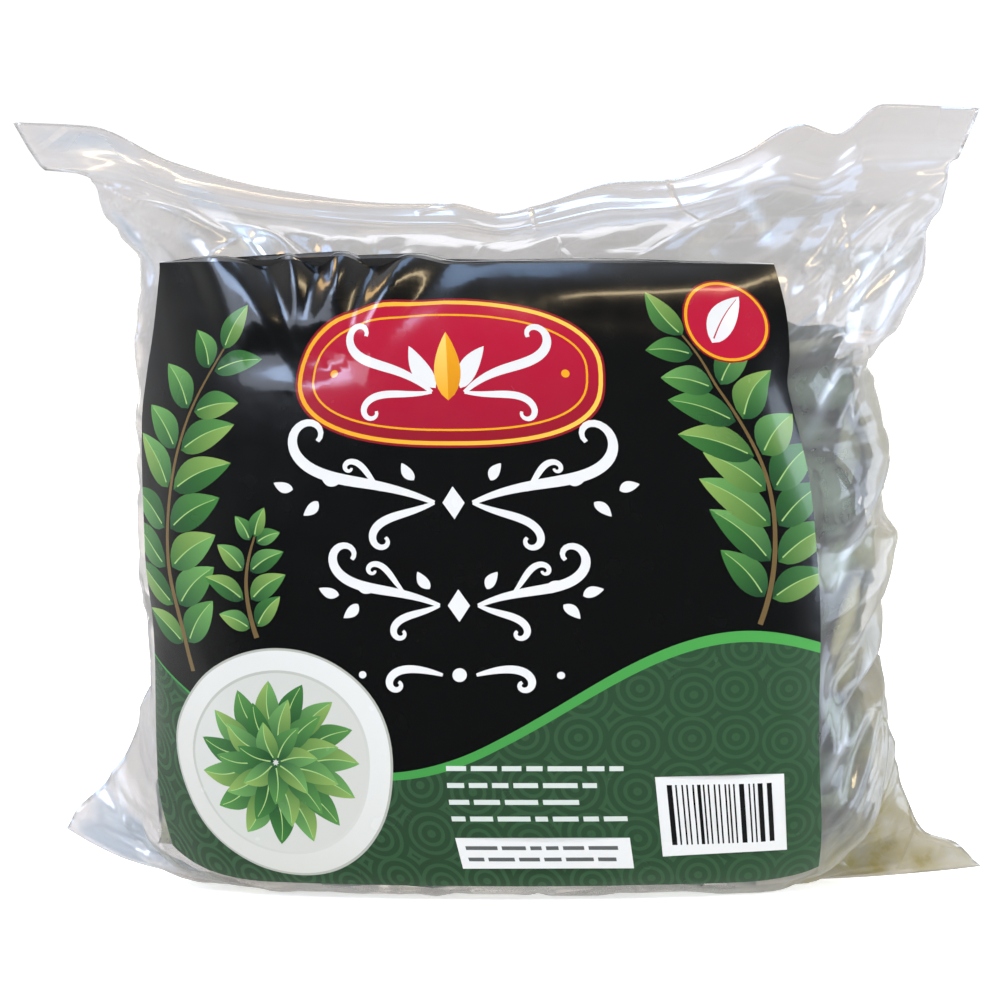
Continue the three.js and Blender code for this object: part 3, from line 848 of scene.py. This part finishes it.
# Leaves pressed against the film all the way round: each point of a leaflet goes sideways and
# up along the film by its turned x and y, and lies inside it by its layer's depth less z
def leavesByFilm():
    count = leaves["byFilm"]
    draw = leafRandom.uniform
    x, y, z, s, t = drawLeaflets(count, leaves["length"], leaves["byFilmShape"])
    # a golden-ratio walk spreads the leaves evenly over the film
    k = np.arange(count)
    place = (k * leaves["goldenStep"] % 1) * 4 + draw(-0.05, 0.05, count)
    toFold = np.abs((place % 2) - 1)
    level = 14 + (k + 0.5) / count * (158 - 22 * toFold ** 3) + draw(-4, 4, count)
    turn = draw(0, 2 * math.pi, count)
    inset = 2.4 + draw(0, 1, count) ** 1.4 * 5.2
    tilt = draw(-0.16, 0.16, (2, count))
    sideways, upwards = turned(x, y, turn)
    depth = inset[:, None] - z + tilt[0][:, None] * x + tilt[1][:, None] * y
    depth = 1.5 + np.log1p(np.exp((depth - 1.5) * 1.5)) / 1.5  # never nearer than 1.5 mm
    levels = np.maximum(level[:, None] + upwards, 9.0)
    placed = (place[:, None] + sideways / film["halfFace"]) % 4
    depth = depth + np.where((placed + 1) % 4 < 2, 4.2, 2.4) * np.abs((placed % 2) - 1) ** 6
    points = insidePoint(placed.ravel(), levels.ravel(), depth.ravel())
    return points.reshape(*x.shape, 3), s, t


# Leaves caught flat between the two plies of the bottom right ear: at the film's own x and
# height, and at a small share of its depth
def leavesInEar():
    count = leaves["inEar"]
    draw = leafRandom.uniform
    x, y, z, s, t = drawLeaflets(count, leaves["earLength"], leaves["inEarShape"])
    turn = draw(-1.3, 0.4, count)
    sideways, upwards = turned(x, y, turn)
    across = draw(0.6, 0.88, count)[:, None] + sideways / film["halfFace"]
    level = draw(11, 40, count)[:, None] + upwards
    # both limits are rounded off, so that a leaf bends there rather than being cut
    across = 0.96 - np.log1p(np.exp((0.96 - across) * 22)) / 22
    level = 4 + np.log1p(np.exp((level - 4) * 0.25)) / 0.25
    point = filmPoint(across.ravel(), level.ravel(), 1).reshape(*x.shape, 3)
    layer = draw(-0.3, 0.3, count)[:, None]
    point[..., 1] = point[..., 1] * layer - np.clip(z, -1, 1) * clamp(np.abs(point[..., 1]) / 7)
    return point, s, t


# Leaves lying loose on the heap's domed top, kept inside the film
def leavesOnTop():
    count = leaves["onTop"]
    draw = leafRandom.uniform
    x, y, z, s, t = drawLeaflets(count, leaves["length"], leaves["onTopShape"], leaves["onTopScale"])
    place = draw(0, 4, count)
    rim = insidePoint(place, 172.0, 5.0)
    share = np.sqrt(draw(0, 0.8, count))
    centre = rim * share[:, None]
    centre[:, 2] = mix(147.0, rim[:, 2], share ** 4) + draw(-3, 3, count)
    centre[:, 2] -= leaves["sideDrop"] * (centre[:, 0] / 90) ** 2
    turn, tipped, rolled = draw(0, 2 * math.pi, count), draw(-0.4, 0.4, count), draw(-0.35, 0.35, count)
    z = z + x * np.tan(tipped)[:, None] * 0.8 + y * np.tan(rolled)[:, None]
    points = np.stack([*turned(x, y, turn), z], axis=-1) + centre[:, None]
    room = roomAt(points[..., 0], points[..., 2] + 2) - 3.5
    points[..., 1] = np.clip(points[..., 1], -np.maximum(room, 1), np.maximum(room, 1))
    points[..., 0] = np.clip(points[..., 0], -86, 88)
    return points, s, t


# Heart of the heap, dark as painted shade among the leaves within: a tube inside the film by the core's
# inset, under a dome
def heapCore():
    columns = 96
    places = np.arange(columns) * 4 / columns
    rings = [insidePoint(places, level, leaves["coreInset"]) for level in np.linspace(24, 172, 34)]
    rim = rings[-1]
    for share in (0.93, 0.84, 0.7, 0.5, 0.28):
        ring = rim * share
        ring[:, 2] = mix(144.0, rim[:, 2], share ** 4)
        rings.append(ring)
    points = np.concatenate(rings)
    points += leafRandom.normal(0, 0.5, points.shape) * [1, 1, 0]
    points[:, 2] -= leaves["sideDrop"] * (points[:, 0] / 90) ** 2 * smooth((points[:, 2] - 60) / 60)
    i, j = np.meshgrid(np.arange(len(rings) - 1), np.arange(columns), indexing="ij")
    a, b = i * columns + j, i * columns + (j + 1) % columns
    quads = np.stack([a, b, b + columns, a + columns], axis=-1).reshape(-1, 4)
    last = (len(rings) - 1) * columns
    points = np.concatenate([points, [rings[0].mean(axis=0)], [[0, 0, 144.4]]])
    j = np.arange(columns)
    bottom = np.stack([(j + 1) % columns, j, np.full(columns, len(points) - 2)], axis=1)
    top = np.stack([last + j, last + (j + 1) % columns, np.full(columns, len(points) - 1)], axis=1)
    return points, quads, np.concatenate([bottom, top])


# The core and all leaflets as one mesh, with a tone for each leaflet and a UV map along its blade
def buildLeaves():
    byFilm, s, t = leavesByFilm()
    onTop, _, _ = leavesOnTop()
    inEar, _, _ = leavesInEar()
    blades = np.concatenate([byFilm, onTop, inEar])
    count, each = blades.shape[:2]
    quads, triangles = leafletFaces()
    starts = (np.arange(count) * each)[:, None, None]
    corePoints, coreQuads, coreTriangles = heapCore()
    base = count * each
    points = np.concatenate([blades.reshape(-1, 3), corePoints])
    groups = [
        (quads[None] + starts).reshape(-1, 4), (triangles[None] + starts).reshape(-1, 3),
        coreQuads + base, coreTriangles + base,
    ]
    piece = addPiece("dried_leaf_heap", points, groups, driedLeafMaterial())
    tones = np.array([linearColour(tone)[:3] for tone in leaves["tones"]])
    picked = tones[leafRandom.integers(0, len(tones), count)]
    picked = picked * leafRandom.uniform(0.95, 1.7, (count, 1))
    earShade = leafRandom.uniform(0.8, 1.15, (len(inEar), 1))
    picked[-len(inEar):] = linearColour(leaves["earTone"])[:3] * earShade
    rib = np.exp(-(s / 0.22) ** 2) * 0.3
    rim = np.abs(s) ** 3 * -0.22
    tint = picked[:, None] * (1 + rib + rim)[None, :, None]
    # the heart of the heap takes the dark painted shade
    core = np.broadcast_to(linearColour(leaves["core"])[:3], (len(corePoints), 3))
    colour = np.ones((len(points), 4), dtype=np.float32)
    colour[:, :3] = np.concatenate([tint.reshape(-1, 3), core])
    attribute = piece.data.attributes.new("tone", "FLOAT_COLOR", "POINT")
    attribute.data.foreach_set("color", colour.ravel())
    blade = np.zeros((len(points), 2))
    blade[:base] = np.tile(np.stack([s, t], axis=1), (count, 1))
    corners = np.empty(len(piece.data.loops), dtype=int)
    piece.data.loops.foreach_get("vertex_index", corners)
    layer = piece.data.uv_layers.new(name="blade")
    layer.uv.foreach_set("vector", blade[corners].astype(np.float32).ravel())
    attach(piece, "root")
    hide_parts("dried_leaves")
    return piece


leafPiece = buildLeaves()
print("leaves made:", len(leafPiece.data.polygons), "faces")

# The printed label. Its artwork is laid out in millimetres from its lower left corner when flat.
label = {
    "width": 165.0,
    "height": 158.0,
    "grid": 1.7,
    "lift": 0.45,  # how far its back stands off the film
    "paper": 0.35,
    "seed": 3,
    "black": "#070808",
    "red": "#b81535",
    "darkRed": "#8e1424",
    "gold": "#eda51c",
    "white": "#e4e3df",
    "cream": "#c9c8be",
    "creamShade": "#adaea2",
    "darkGreen": "#264229",
    "brightGreen": "#358b3d",
    "leafInks": [
        ["#1c4426", "#3f7a38"], ["#2b5a33", "#6ea457"], ["#1f4d2c", "#568f45"], ["#36682f", "#8bab57"],
    ],
    "grey": "#5c5e5c",
}
art = {"outlines": [], "inks": [], "runs": [], "patterned": []}


# A flat printed shape. Its ink runs from one colour to another along a line.
def printShape(outline, ink, toInk=None, run=None, patterned=0.0):
    outline = np.asarray(outline, dtype=float)
    following = np.roll(outline, -1, axis=0)
    area = (outline[:, 0] * following[:, 1] - outline[:, 1] * following[:, 0]).sum()
    art["outlines"].append(outline if area > 0 else outline[::-1])
    art["inks"].append([linearColour(ink)[:3], linearColour(toInk or ink)[:3]])
    art["runs"].append(run if run is not None else [[0, 0], [1, 0]])
    art["patterned"].append(patterned)


# Corners of an upright rectangle
def rectangle(left, bottom, width, height):
    right, top = left + width, bottom + height
    return [[left, bottom], [right, bottom], [right, top], [left, top]]


# Superellipse outline: cos and sin raised to 2/n
def ovalOutline(centre, radii, points=56, exponent=2.0):
    angle = np.linspace(0, 2 * math.pi, points, endpoint=False)
    x = np.sign(np.cos(angle)) * np.abs(np.cos(angle)) ** (2 / exponent)
    y = np.sign(np.sin(angle)) * np.abs(np.sin(angle)) ** (2 / exponent)
    return np.stack([centre[0] + radii[0] * x, centre[1] + radii[1] * y], axis=1)


# A line of changing width: one small quad for each step of its path
def printRibbon(path, width, ink):
    path = np.asarray(path, dtype=float)
    step = np.gradient(path, axis=0)
    step /= np.linalg.norm(step, axis=1, keepdims=True)
    side = np.stack([-step[:, 1], step[:, 0]], axis=1) * (np.broadcast_to(width, len(path)) / 2)[:, None]
    for a, b, c, d in zip((path - side)[:-1], (path - side)[1:], (path + side)[1:], (path + side)[:-1]):
        printShape([a, b, c, d], ink)


# A leaf in two halves and a rib. Its midline bends by a sine, and its half width is
# sin(pi s^0.8) raised to 0.85.
def printLeaf(base, tip, width, inks, bend=0.06, rib="#9cbf72", ribWidth=0.35):
    base, tip = np.asarray(base, dtype=float), np.asarray(tip, dtype=float)
    s = np.linspace(0, 1, 13)
    along = tip - base
    side = np.array([-along[1], along[0]])
    middle = base + along * s[:, None] + side * (bend * np.sin(math.pi * s))[:, None]
    reach = (np.sin(math.pi * s ** 0.8) ** 0.85 * width / 2 / np.linalg.norm(along))[:, None] * side
    for sign, (dark, light) in ((1, inks[0]), (-1, inks[1])):
        outline = np.concatenate([middle, (middle + sign * reach)[-2:0:-1]])
        printShape(outline, dark, light, [base, tip])
    if rib:
        printRibbon(middle[1:-1], np.linspace(ribWidth, ribWidth * 0.4, 11), rib)


# a (1 - t)^2 + 2 b t (1 - t) + c t^2
def bezier(points, t):
    a, b, c = [np.asarray(p, dtype=float) for p in points]
    t = np.asarray(t)[:, None]
    return a * (1 - t) ** 2 + 2 * b * t * (1 - t) + c * t ** 2


artRandom = np.random.default_rng(label["seed"])


# A leafy branch: pairs of leaflets set along a bent stem, shorter towards its tip
def printBranch(stem, pairs, leafLength, leafWidth, spread=0.95):
    t = np.linspace(0, 1, 40)
    path = bezier(stem, t)
    stations = np.linspace(0.08, 0.93, pairs)
    at = bezier(stem, stations)
    ahead = bezier(stem, stations + 0.02) - at
    for i, (place, step) in enumerate(zip(at, ahead)):
        heading = math.atan2(step[1], step[0])
        scale = 0.62 + 0.42 * math.sin(math.pi * min(0.95, stations[i] * 0.75 + 0.2))
        for sign in (1, -1):
            angle = heading + sign * (spread + artRandom.uniform(-0.12, 0.12))
            length = leafLength * scale * artRandom.uniform(0.88, 1.1)
            tip = place + length * np.array([math.cos(angle), math.sin(angle)])
            start = place + 1.2 * np.array([math.cos(angle), math.sin(angle)])
            dark, light = artRandom.choice(len(label["leafInks"]), 2, replace=False)
            inks = [label["leafInks"][dark], label["leafInks"][light]]
            printLeaf(start, tip, leafWidth * scale, inks, bend=-sign * 0.07)
    end = path[-1] - path[-2]
    end /= np.linalg.norm(end)
    printLeaf(path[-1], path[-1] + end * leafLength * 0.7, leafWidth * 0.75, label["leafInks"][2:4])
    printRibbon(path, np.linspace(1.3, 0.5, 40), "#6f5a35")


# A scroll: a path whose heading bends evenly and then curls up at its end, heading + bend s +
# curl s^4, drawn swelling in the middle
def printScroll(start, heading, length, bend, curl, width, ink):
    s = np.linspace(0, 1, 46)
    angle = heading + bend * s + curl * s ** 4
    steps = np.stack([np.cos(angle), np.sin(angle)], axis=1) * length / 45
    path = np.asarray(start) + np.concatenate([[[0, 0]], np.cumsum(steps, axis=0)[:-1]])
    printRibbon(path, width * (0.28 + 0.72 * np.sin(math.pi * clamp(s * 0.9 + 0.05))), ink)
    return path


# A round dot
def printDot(centre, radius, ink):
    printShape(ovalOutline(centre, (radius, radius), 20), ink)


# Words are stood for by plain short bars
def printBars(left, bottom, width, height, gap, ink):
    x = left
    while x < left + width - 2:
        length = min(artRandom.uniform(2.5, 8), left + width - x)
        printShape(rectangle(x, bottom, length, height), ink)
        x += length + gap


# All shapes of the label from the ground up, as a later shape covers an earlier one
def designLabel():
    bothWays = ((1, 0.0), (-1, math.pi))  # a side's sign, and the heading that runs outwards on it
    width, height = label["width"], label["height"]
    white, gold = label["white"], label["gold"]
    printShape(rectangle(0, 0, width, height), white)
    printShape(rectangle(0, 0, width, height - 0.2), label["black"], "#0b0c0c", [[0, 0], [0, height]])
    # green ground with a bright wave along its top
    x = np.linspace(0, width, 90)
    wave = 40 + 13 * np.sin((x - 118) / 165 * 2 * math.pi * 1.05 + 0.6) + 10 * smooth((x - 80) / 85)
    ground = np.concatenate([np.stack([x, wave], axis=1), [[width, 0], [0, 0]]])
    printShape(ground, label["darkGreen"], "#2d4d32", [[30, 0], [150, 60]], patterned=1.0)
    lineWidth = 0.6 + 2.2 * smooth(x / 120)
    line = np.concatenate([np.stack([x, wave + lineWidth], axis=1), np.stack([x, wave], axis=1)[::-1]])
    printShape(line, label["brightGreen"], "#4ba24a", [[0, 0], [width, 0]])
    # branches rising on both sides
    printBranch([[15, 52], [2, 92], [24, 134]], 8, 17, 8.2)
    printBranch([[150, 66], [164, 104], [139, 138]], 8, 18, 8.6)
    printBranch([[33, 62], [29, 74], [34, 87]], 4, 11, 5.4)
    # plaque with a gold line round it
    middle = 82
    centre = (middle, 127)
    for radii, ink, toInk, run in (
        ((38, 18.6), label["darkRed"], None, None),
        ((37.4, 18), gold, "#f7c64e", [[50, 110], [110, 132]]),
        ((36.4, 17), label["red"], label["darkRed"], [[middle, 142], [middle, 106]]),
        ((33.9, 14.5), gold, None, None),
        ((33.4, 14.0), label["red"], "#a3152f", [[middle, 140], [middle, 112]]),
    ):
        printShape(ovalOutline(centre, radii, 72, 2.5), ink, toInk, run)
    for sign, outwards in bothWays:
        start = (centre[0] + sign * 4, centre[1] - 5)
        printScroll(start, outwards + sign * 0.75, 34, sign * -1.5, sign * 6.2, 2.4, white)
        printScroll(start, outwards - sign * 0.15, 24, sign * 0.7, sign * -6.0, 1.8, white)
        tip = (centre[0] + sign * 9.5, centre[1] + 6.5)
        printLeaf((centre[0] + sign * 3, centre[1] - 4), tip, 4.6, [[white, white]] * 2, rib=None)
        printDot((centre[0] + sign * 28.5, centre[1]), 1.0, gold)
    tip = (centre[0], centre[1] + 10)
    inks = [[gold, "#f9d470"], ["#d98a12", gold]]
    printLeaf((centre[0], centre[1] - 7), tip, 6.6, inks, bend=0, rib=None)
    # white vine scrolls where a title would go
    for y, reach, strokes in ((95, 1.0, 1.0), (70, 0.74, 0.9)):
        for sign, outwards in bothWays:
            start = (middle + sign * 4.5, y)
            side = (middle + sign * 17 * reach, y + 3)
            for at, turn, length, bend, curl, stroke in (
                (start, 0.42, 52 * reach, -0.95, 6.4, 2.7 * strokes),
                (start, -0.42, 25 * reach, 0.6, -6.2, 2.0 * strokes),
                (side, 0.9, 15, 0.5, -6.5, 1.5),
            ):
                printScroll(at, outwards + sign * turn, length, sign * bend, sign * curl, stroke, white)
            for dx, dy, turn in ((9, 5.5, 1.0), (27, 4.6, 0.55), (32, 0.5, -0.75), (38, 3.5, 0.35)):
                at = np.array([middle + sign * dx * reach, y + dy * reach])
                tip = at + [sign * 5 * math.cos(turn), 5 * math.sin(turn)]
                printLeaf(at, tip, 2.6, [[white, white]] * 2, rib=None)
        printShape([[middle, y + 4], [84.6, y], [middle, y - 4], [79.4, y]], white)
    for sign, outwards in bothWays:
        start = (middle + sign * 4, 53)
        printScroll(start, outwards + sign * 0.3, 20, sign * -0.5, sign * -6.0, 2.0, white)
        printDot((middle + sign * 23, 53), 0.9, white)
    printDot((middle, 53), 1.7, white)
    # round dish with a rosette of leaves
    dish = np.array([38.0, 31.0])
    printShape(ovalOutline(dish, (28.5, 28.5), 96), label["creamShade"])
    printShape(ovalOutline(dish, (27.9, 27.9), 96), label["cream"], "#dfdfd9", [[15, 10], [60, 55]])
    printShape(ovalOutline(dish, (23.0, 23.0), 80), label["creamShade"], "#cfcfc6", [[15, 50], [60, 10]])
    printShape(ovalOutline(dish, (22.3, 22.3), 80), "#c9cac1", label["cream"], [[15, 50], [60, 10]])
    rosette = ((8, 15, 12.5, 6.2, 0), (4, 11, 12, 5.8, 0.25), (0.5, 7, 10, 5.2, 0.1))
    for start, count, length, leafWidth, turn in rosette:
        for k in range(count):
            angle = turn + k * 2 * math.pi / count
            way = np.array([math.cos(angle), math.sin(angle)])
            inks = [label["leafInks"][(k * 3 + count) % 4], label["leafInks"][(k + 1) % 4]]
            printLeaf(dish + way * start, dish + way * (start + length), leafWidth, inks, bend=0.08)
    # small print: bars only
    for row in range(4):
        printBars(79, 29.5 - row * 4.1, 40 - 4 * (row % 3), 1.2, 1.1, "#cfd6cd")
    printShape(rectangle(79, 5, 40, 8), white)
    for row in range(2):
        printBars(81, 9.9 - row * 3, 35, 1.0, 1.0, label["grey"])
    # upright bars of random widths, which are no code
    printShape(rectangle(126, 8, 30, 20), white)
    x = 128.5
    while x < 153:
        bar = artRandom.choice([0.4, 0.4, 0.8, 1.2])
        printShape(rectangle(x, 11, bar, 15), "#151515")
        x += bar + artRandom.choice([0.5, 0.7, 1.0])
    # round red seal at the top corner
    seal = (150, 142)
    printDot(seal, 10.5, label["darkRed"])
    printShape(ovalOutline(seal, (10, 10), 48), gold)
    printShape(ovalOutline(seal, (9.3, 9.3), 48), label["red"])
    printLeaf((146, 136.5), (154, 148.5), 6.4, [[white, white], ["#e3dede", "#f4f2ef"]], rib=label["red"])


# Printed paper under a gloss laminate: deep even inks with a sharp sheen over fine paper waviness
def printedLabelMaterial():
    material, tree = newMaterial("gloss_laminated_label")
    ink = addNode(tree, "ShaderNodeAttribute", {"attribute_name": "ink"})
    uv = addNode(tree, "ShaderNodeUVMap", {"uv_map": "print"})
    # tone-on-tone rings 12 mm apart on the green ground
    cells = addNode(tree, "ShaderNodeTexVoronoi", {"voronoi_dimensions": "2D"}, {
        "Vector": uv.outputs["UV"], "Scale": 1 / 12, "Randomness": 0.25,
    })
    rings = maths(tree, "SINE", maths(tree, "MULTIPLY", cells.outputs["Distance"], 34.0))
    drawn = moved(tree, rings, (0.1, 0.5), (0.0, 0.5))
    strength = maths(tree, "MULTIPLY", drawn, ink.outputs["Alpha"])
    colour = mixColours(tree, strength, ink.outputs["Color"], linearColour("#3c6340"))
    place = addNode(tree, "ShaderNodeTexCoord").outputs["Object"]
    waviness = noiseAt(tree, place, 120.0, Detail=2.0, Roughness=0.5)
    bump = addNode(tree, "ShaderNodeBump", None, {"Strength": 0.3, "Distance": 0.0004, "Height": waviness})
    rubbed = moved(tree, waviness, (0.3, 0.8), (0.2, 0.3))
    shader = addNode(tree, "ShaderNodeBsdfPrincipled", None, {
        "Base Color": colour, "Roughness": rubbed, "IOR": 1.49, "Normal": bump.outputs["Normal"],
        "Coat Weight": 0.6, "Coat Roughness": 0.1, "Coat IOR": 1.49,
    })
    addNode(tree, "ShaderNodeOutputMaterial", None, {"Surface": shader.outputs["BSDF"]})
    return material


# Where a point of the flat label lies round the bag: across goes evenly from its left edge to
# its right one, and its level is y less 3 % of y at both sides
def labelPlace(x, y):
    fromMiddle = 2 * x / label["width"] - 1
    level = film["labelLevels"][0] + y * (1 - 0.03 * fromMiddle ** 2)
    return mix(labelLeftAt(level), labelRightAt(level), x / label["width"]) + 1, level


# The label as printed: its shapes and a fine grid are cut into triangles together, and each
# triangle takes the ink of the topmost shape over it
def buildLabel():
    designLabel()
    points, outlines = [], []
    for outline in art["outlines"]:
        outlines.append(list(range(len(points), len(points) + len(outline))))
        points += outline.tolist()
    across = np.arange(label["grid"], label["width"] - 1, label["grid"])
    up = np.arange(label["grid"], label["height"] - 1, label["grid"])
    grid = np.stack(np.meshgrid(across, up), axis=-1).reshape(-1, 2)
    rimX = np.concatenate([across, across, np.zeros(len(up)), np.full(len(up), label["width"])])
    rimY = np.concatenate([np.zeros(len(across)), np.full(len(across), label["height"]), up, up])
    points += grid.tolist() + np.stack([rimX, rimY], axis=1).tolist()
    corners = [Vector(p) for p in points]
    flat, _, triangles, _, _, origins = delaunay_2d_cdt(corners, [], outlines, 0, 1e-4, True)
    flat = np.array([v[:] for v in flat])
    kept = [(t, max(o)) for t, o in zip(triangles, origins) if 0 in o]
    triangles = np.array([t for t, _ in kept])
    shapes = np.array([o for _, o in kept])
    a, b, c = [flat[triangles[:, k]] for k in range(3)]
    turn = (b - a)[:, 0] * (c - a)[:, 1] - (b - a)[:, 1] * (c - a)[:, 0]
    triangles = np.where((turn > 0)[:, None], triangles, triangles[:, ::-1])[np.abs(turn) > 1e-7]
    shapes = shapes[np.abs(turn) > 1e-7]
    used, inverse = np.unique(triangles, return_inverse=True)
    flat, triangles = flat[used], inverse.reshape(-1, 3)
    flat = np.clip(flat, 0, [label["width"], label["height"]])

    def surface(x, y, lift):
        return inParts(bagPoint, 6, *labelPlace(x, y), lift)

    x, y = flat.T
    front = surface(x, y, label["lift"] + label["paper"])
    under = surface(x, y, label["lift"])
    sideways = surface(x + 0.35, y, 0.8) - surface(x - 0.35, y, 0.8)
    upwards = surface(x, y + 0.35, 0.8) - surface(x, y - 0.35, 0.8)
    normals = np.cross(sideways, upwards)
    normals /= np.linalg.norm(normals, axis=1, keepdims=True)
    # the rim joins the two sheets along every edge that only one triangle has
    edges = np.concatenate([triangles[:, [0, 1]], triangles[:, [1, 2]], triangles[:, [2, 0]]])
    keys = np.sort(edges, axis=1)
    _, first, seen = np.unique(keys, axis=0, return_index=True, return_counts=True)
    rim = edges[first[seen == 1]]
    count = len(flat)
    rimQuads = np.stack([rim[:, 1], rim[:, 0], rim[:, 0] + count, rim[:, 1] + count], axis=1)
    piece = addPiece(
        "printed_label", np.concatenate([front, under]),
        [triangles, triangles[:, ::-1] + count, rimQuads], printedLabelMaterial(),
    )
    mesh = piece.data
    inks = np.array(art["inks"])[shapes]
    runs = np.array(art["runs"], dtype=float)[shapes]
    way = runs[:, 1] - runs[:, 0]
    alongRun = ((flat[triangles] - runs[:, 0][:, None]) * way[:, None]).sum(axis=-1)
    share = clamp(alongRun / (way ** 2).sum(axis=-1)[:, None])
    colour = np.ones((len(mesh.loops), 4), dtype=np.float32)
    colour[:, :3] = linearColour("#f4f3f0")[:3]  # the bare paper of its back
    colour[:, 3] = 0
    painted = len(triangles) * 3
    colour[:painted, :3] = mix(inks[:, None, 0], inks[:, None, 1], share[..., None]).reshape(-1, 3)
    colour[:painted, 3] = np.repeat(np.array(art["patterned"])[shapes], 3)
    attribute = mesh.attributes.new("ink", "FLOAT_COLOR", "CORNER")
    attribute.data.foreach_set("color", colour.ravel())
    corners = np.empty(len(mesh.loops), dtype=int)
    mesh.loops.foreach_get("vertex_index", corners)
    layer = mesh.uv_layers.new(name="print")
    layer.uv.foreach_set("vector", np.tile(flat, (2, 1))[corners].astype(np.float32).ravel())
    mesh.normals_split_custom_set_from_vertices(np.concatenate([normals, -normals]).tolist())
    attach(piece, "root")
    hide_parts("label")
    return piece


labelPiece = buildLabel()
print("label made:", len(labelPiece.data.polygons), "faces")

studio = {
    "floor": "#f7f7f7",
    "floorGlow": 0.64,
    "floorRadius": 6000,
    "world": "#ffffff",
    "seen": 1.05,  # the backdrop as the camera sees it
    "ambient": 0.46,  # and as it lights the bag
    "reflected": [0.05, 0.55],  # the dark front of the room and its bright back, as gloss shows them
    "aim": (0, 0, 0.09),  # what every panel faces
    # name, place, size, radiance, colour
    "lights": [
        ["key_softbox", (-0.95, -1.05, 1.05), (0.75, 0.9), 3.0, "#e2ecff"],
        ["window_panel", (-0.72, -0.86, 1.26), (0.42, 0.5), 9.0, "#b8d4ff"],
        ["left_fill", (-1.25, 0.75, 0.85), (0.7, 0.6), 4.0, "#9cc4ff"],
        ["overhead_window", (-0.24, 0.04, 1.4), (0.5, 0.6), 3.6, "#a6ccff"],
        ["warm_lamp", (-0.9, 0.22, 1.0), (0.22, 0.4), 9.0, "#ffcf87"],
        ["low_softbox", (1.35, 0.3, 0.15), (0.8, 0.8), 2.2, "#d6e6ff"],
        ["right_softbox", (1.25, -0.45, 0.38), (0.45, 0.9), 4.0, "#dbeaff"],
        ["top_strip", (0.42, -0.86, 1.28), (0.75, 0.1), 15.0, "#ffe6b8"],
        ["back_softbox", (0.1, 1.3, 0.24), (1.4, 0.44), 3.4, "#fbf8f2"],
        ["back_window", (0.0, 1.15, 0.85), (1.3, 0.7), 1.5, "#f0f2fa"],
    ],
}


# A pale floor, a white room and the soft panels that the film and the label mirror
def buildStudio():
    # matt white board: pale and even, with only a faint grain
    material, tree = newMaterial("matt_white_floor")
    place = addNode(tree, "ShaderNodeTexCoord")
    grain = noiseAt(tree, place.outputs["Object"], 300.0)
    bump = addNode(tree, "ShaderNodeBump", None, {"Strength": 0.05, "Distance": 0.0002, "Height": grain})
    shader = addNode(tree, "ShaderNodeBsdfPrincipled", None, {
        "Base Color": linearColour(studio["floor"]), "Roughness": 0.9, "Specular IOR Level": 0.1,
        "Emission Color": (1, 1, 1, 1), "Emission Strength": studio["floorGlow"],
        "Normal": bump.outputs["Normal"],
    })
    addNode(tree, "ShaderNodeOutputMaterial", None, {"Surface": shader.outputs["BSDF"]})
    angle = np.linspace(0, 2 * math.pi, 96, endpoint=False)
    radius = studio["floorRadius"]
    rim = np.stack([radius * np.cos(angle), radius * np.sin(angle), np.full(96, -0.3)], axis=1)
    floor = addPiece("studio_floor", rim, [np.arange(96)[None]], material)
    floor.visible_glossy = False
    world = bpy.data.worlds.new("soft_white_room")
    bpy.context.scene.world = world
    world.use_nodes = True
    tree = world.node_tree
    tree.nodes.clear()
    ray = addNode(tree, "ShaderNodeLightPath")
    way = addNode(tree, "ShaderNodeTexCoord")
    split = addNode(tree, "ShaderNodeSeparateXYZ", None, {"Vector": way.outputs["Generated"]})
    room = addNode(tree, "ShaderNodeMapRange", {"interpolation_type": "SMOOTHSTEP"}, {
        0: split.outputs["Y"], 1: -0.75, 2: 0.1, 3: studio["reflected"][0], 4: studio["reflected"][1],
    })
    # of these two nodes' sockets, 2 and 3 take the values to be mixed
    unseen = addNode(tree, "ShaderNodeMix", {"data_type": "FLOAT"}, {
        "Factor": ray.outputs["Is Glossy Ray"], 2: studio["ambient"], 3: room.outputs["Result"],
    })
    strength = addNode(tree, "ShaderNodeMix", {"data_type": "FLOAT"}, {
        "Factor": ray.outputs["Is Camera Ray"], 2: unseen.outputs[0], 3: studio["seen"],
    })
    light = addNode(tree, "ShaderNodeBackground", None, {
        "Color": linearColour(studio["world"]), "Strength": strength.outputs[0],
    })
    addNode(tree, "ShaderNodeOutputWorld", None, {"Surface": light.outputs["Background"]})
    for name, location, (width, height), radiance, colour in studio["lights"]:
        data = bpy.data.lights.new(name, "AREA")
        data.shape = "RECTANGLE"
        data.size, data.size_y = width, height
        data.energy = radiance * math.pi * width * height
        data.color = linearColour(colour)[:3]
        lamp = bpy.data.objects.new(name, data)
        lamp.location = location
        facing = Vector(studio["aim"]) - Vector(location)
        lamp.rotation_euler = facing.to_track_quat("-Z", "Y").to_euler()
        bpy.context.collection.objects.link(lamp)


buildStudio()
print("studio lit")
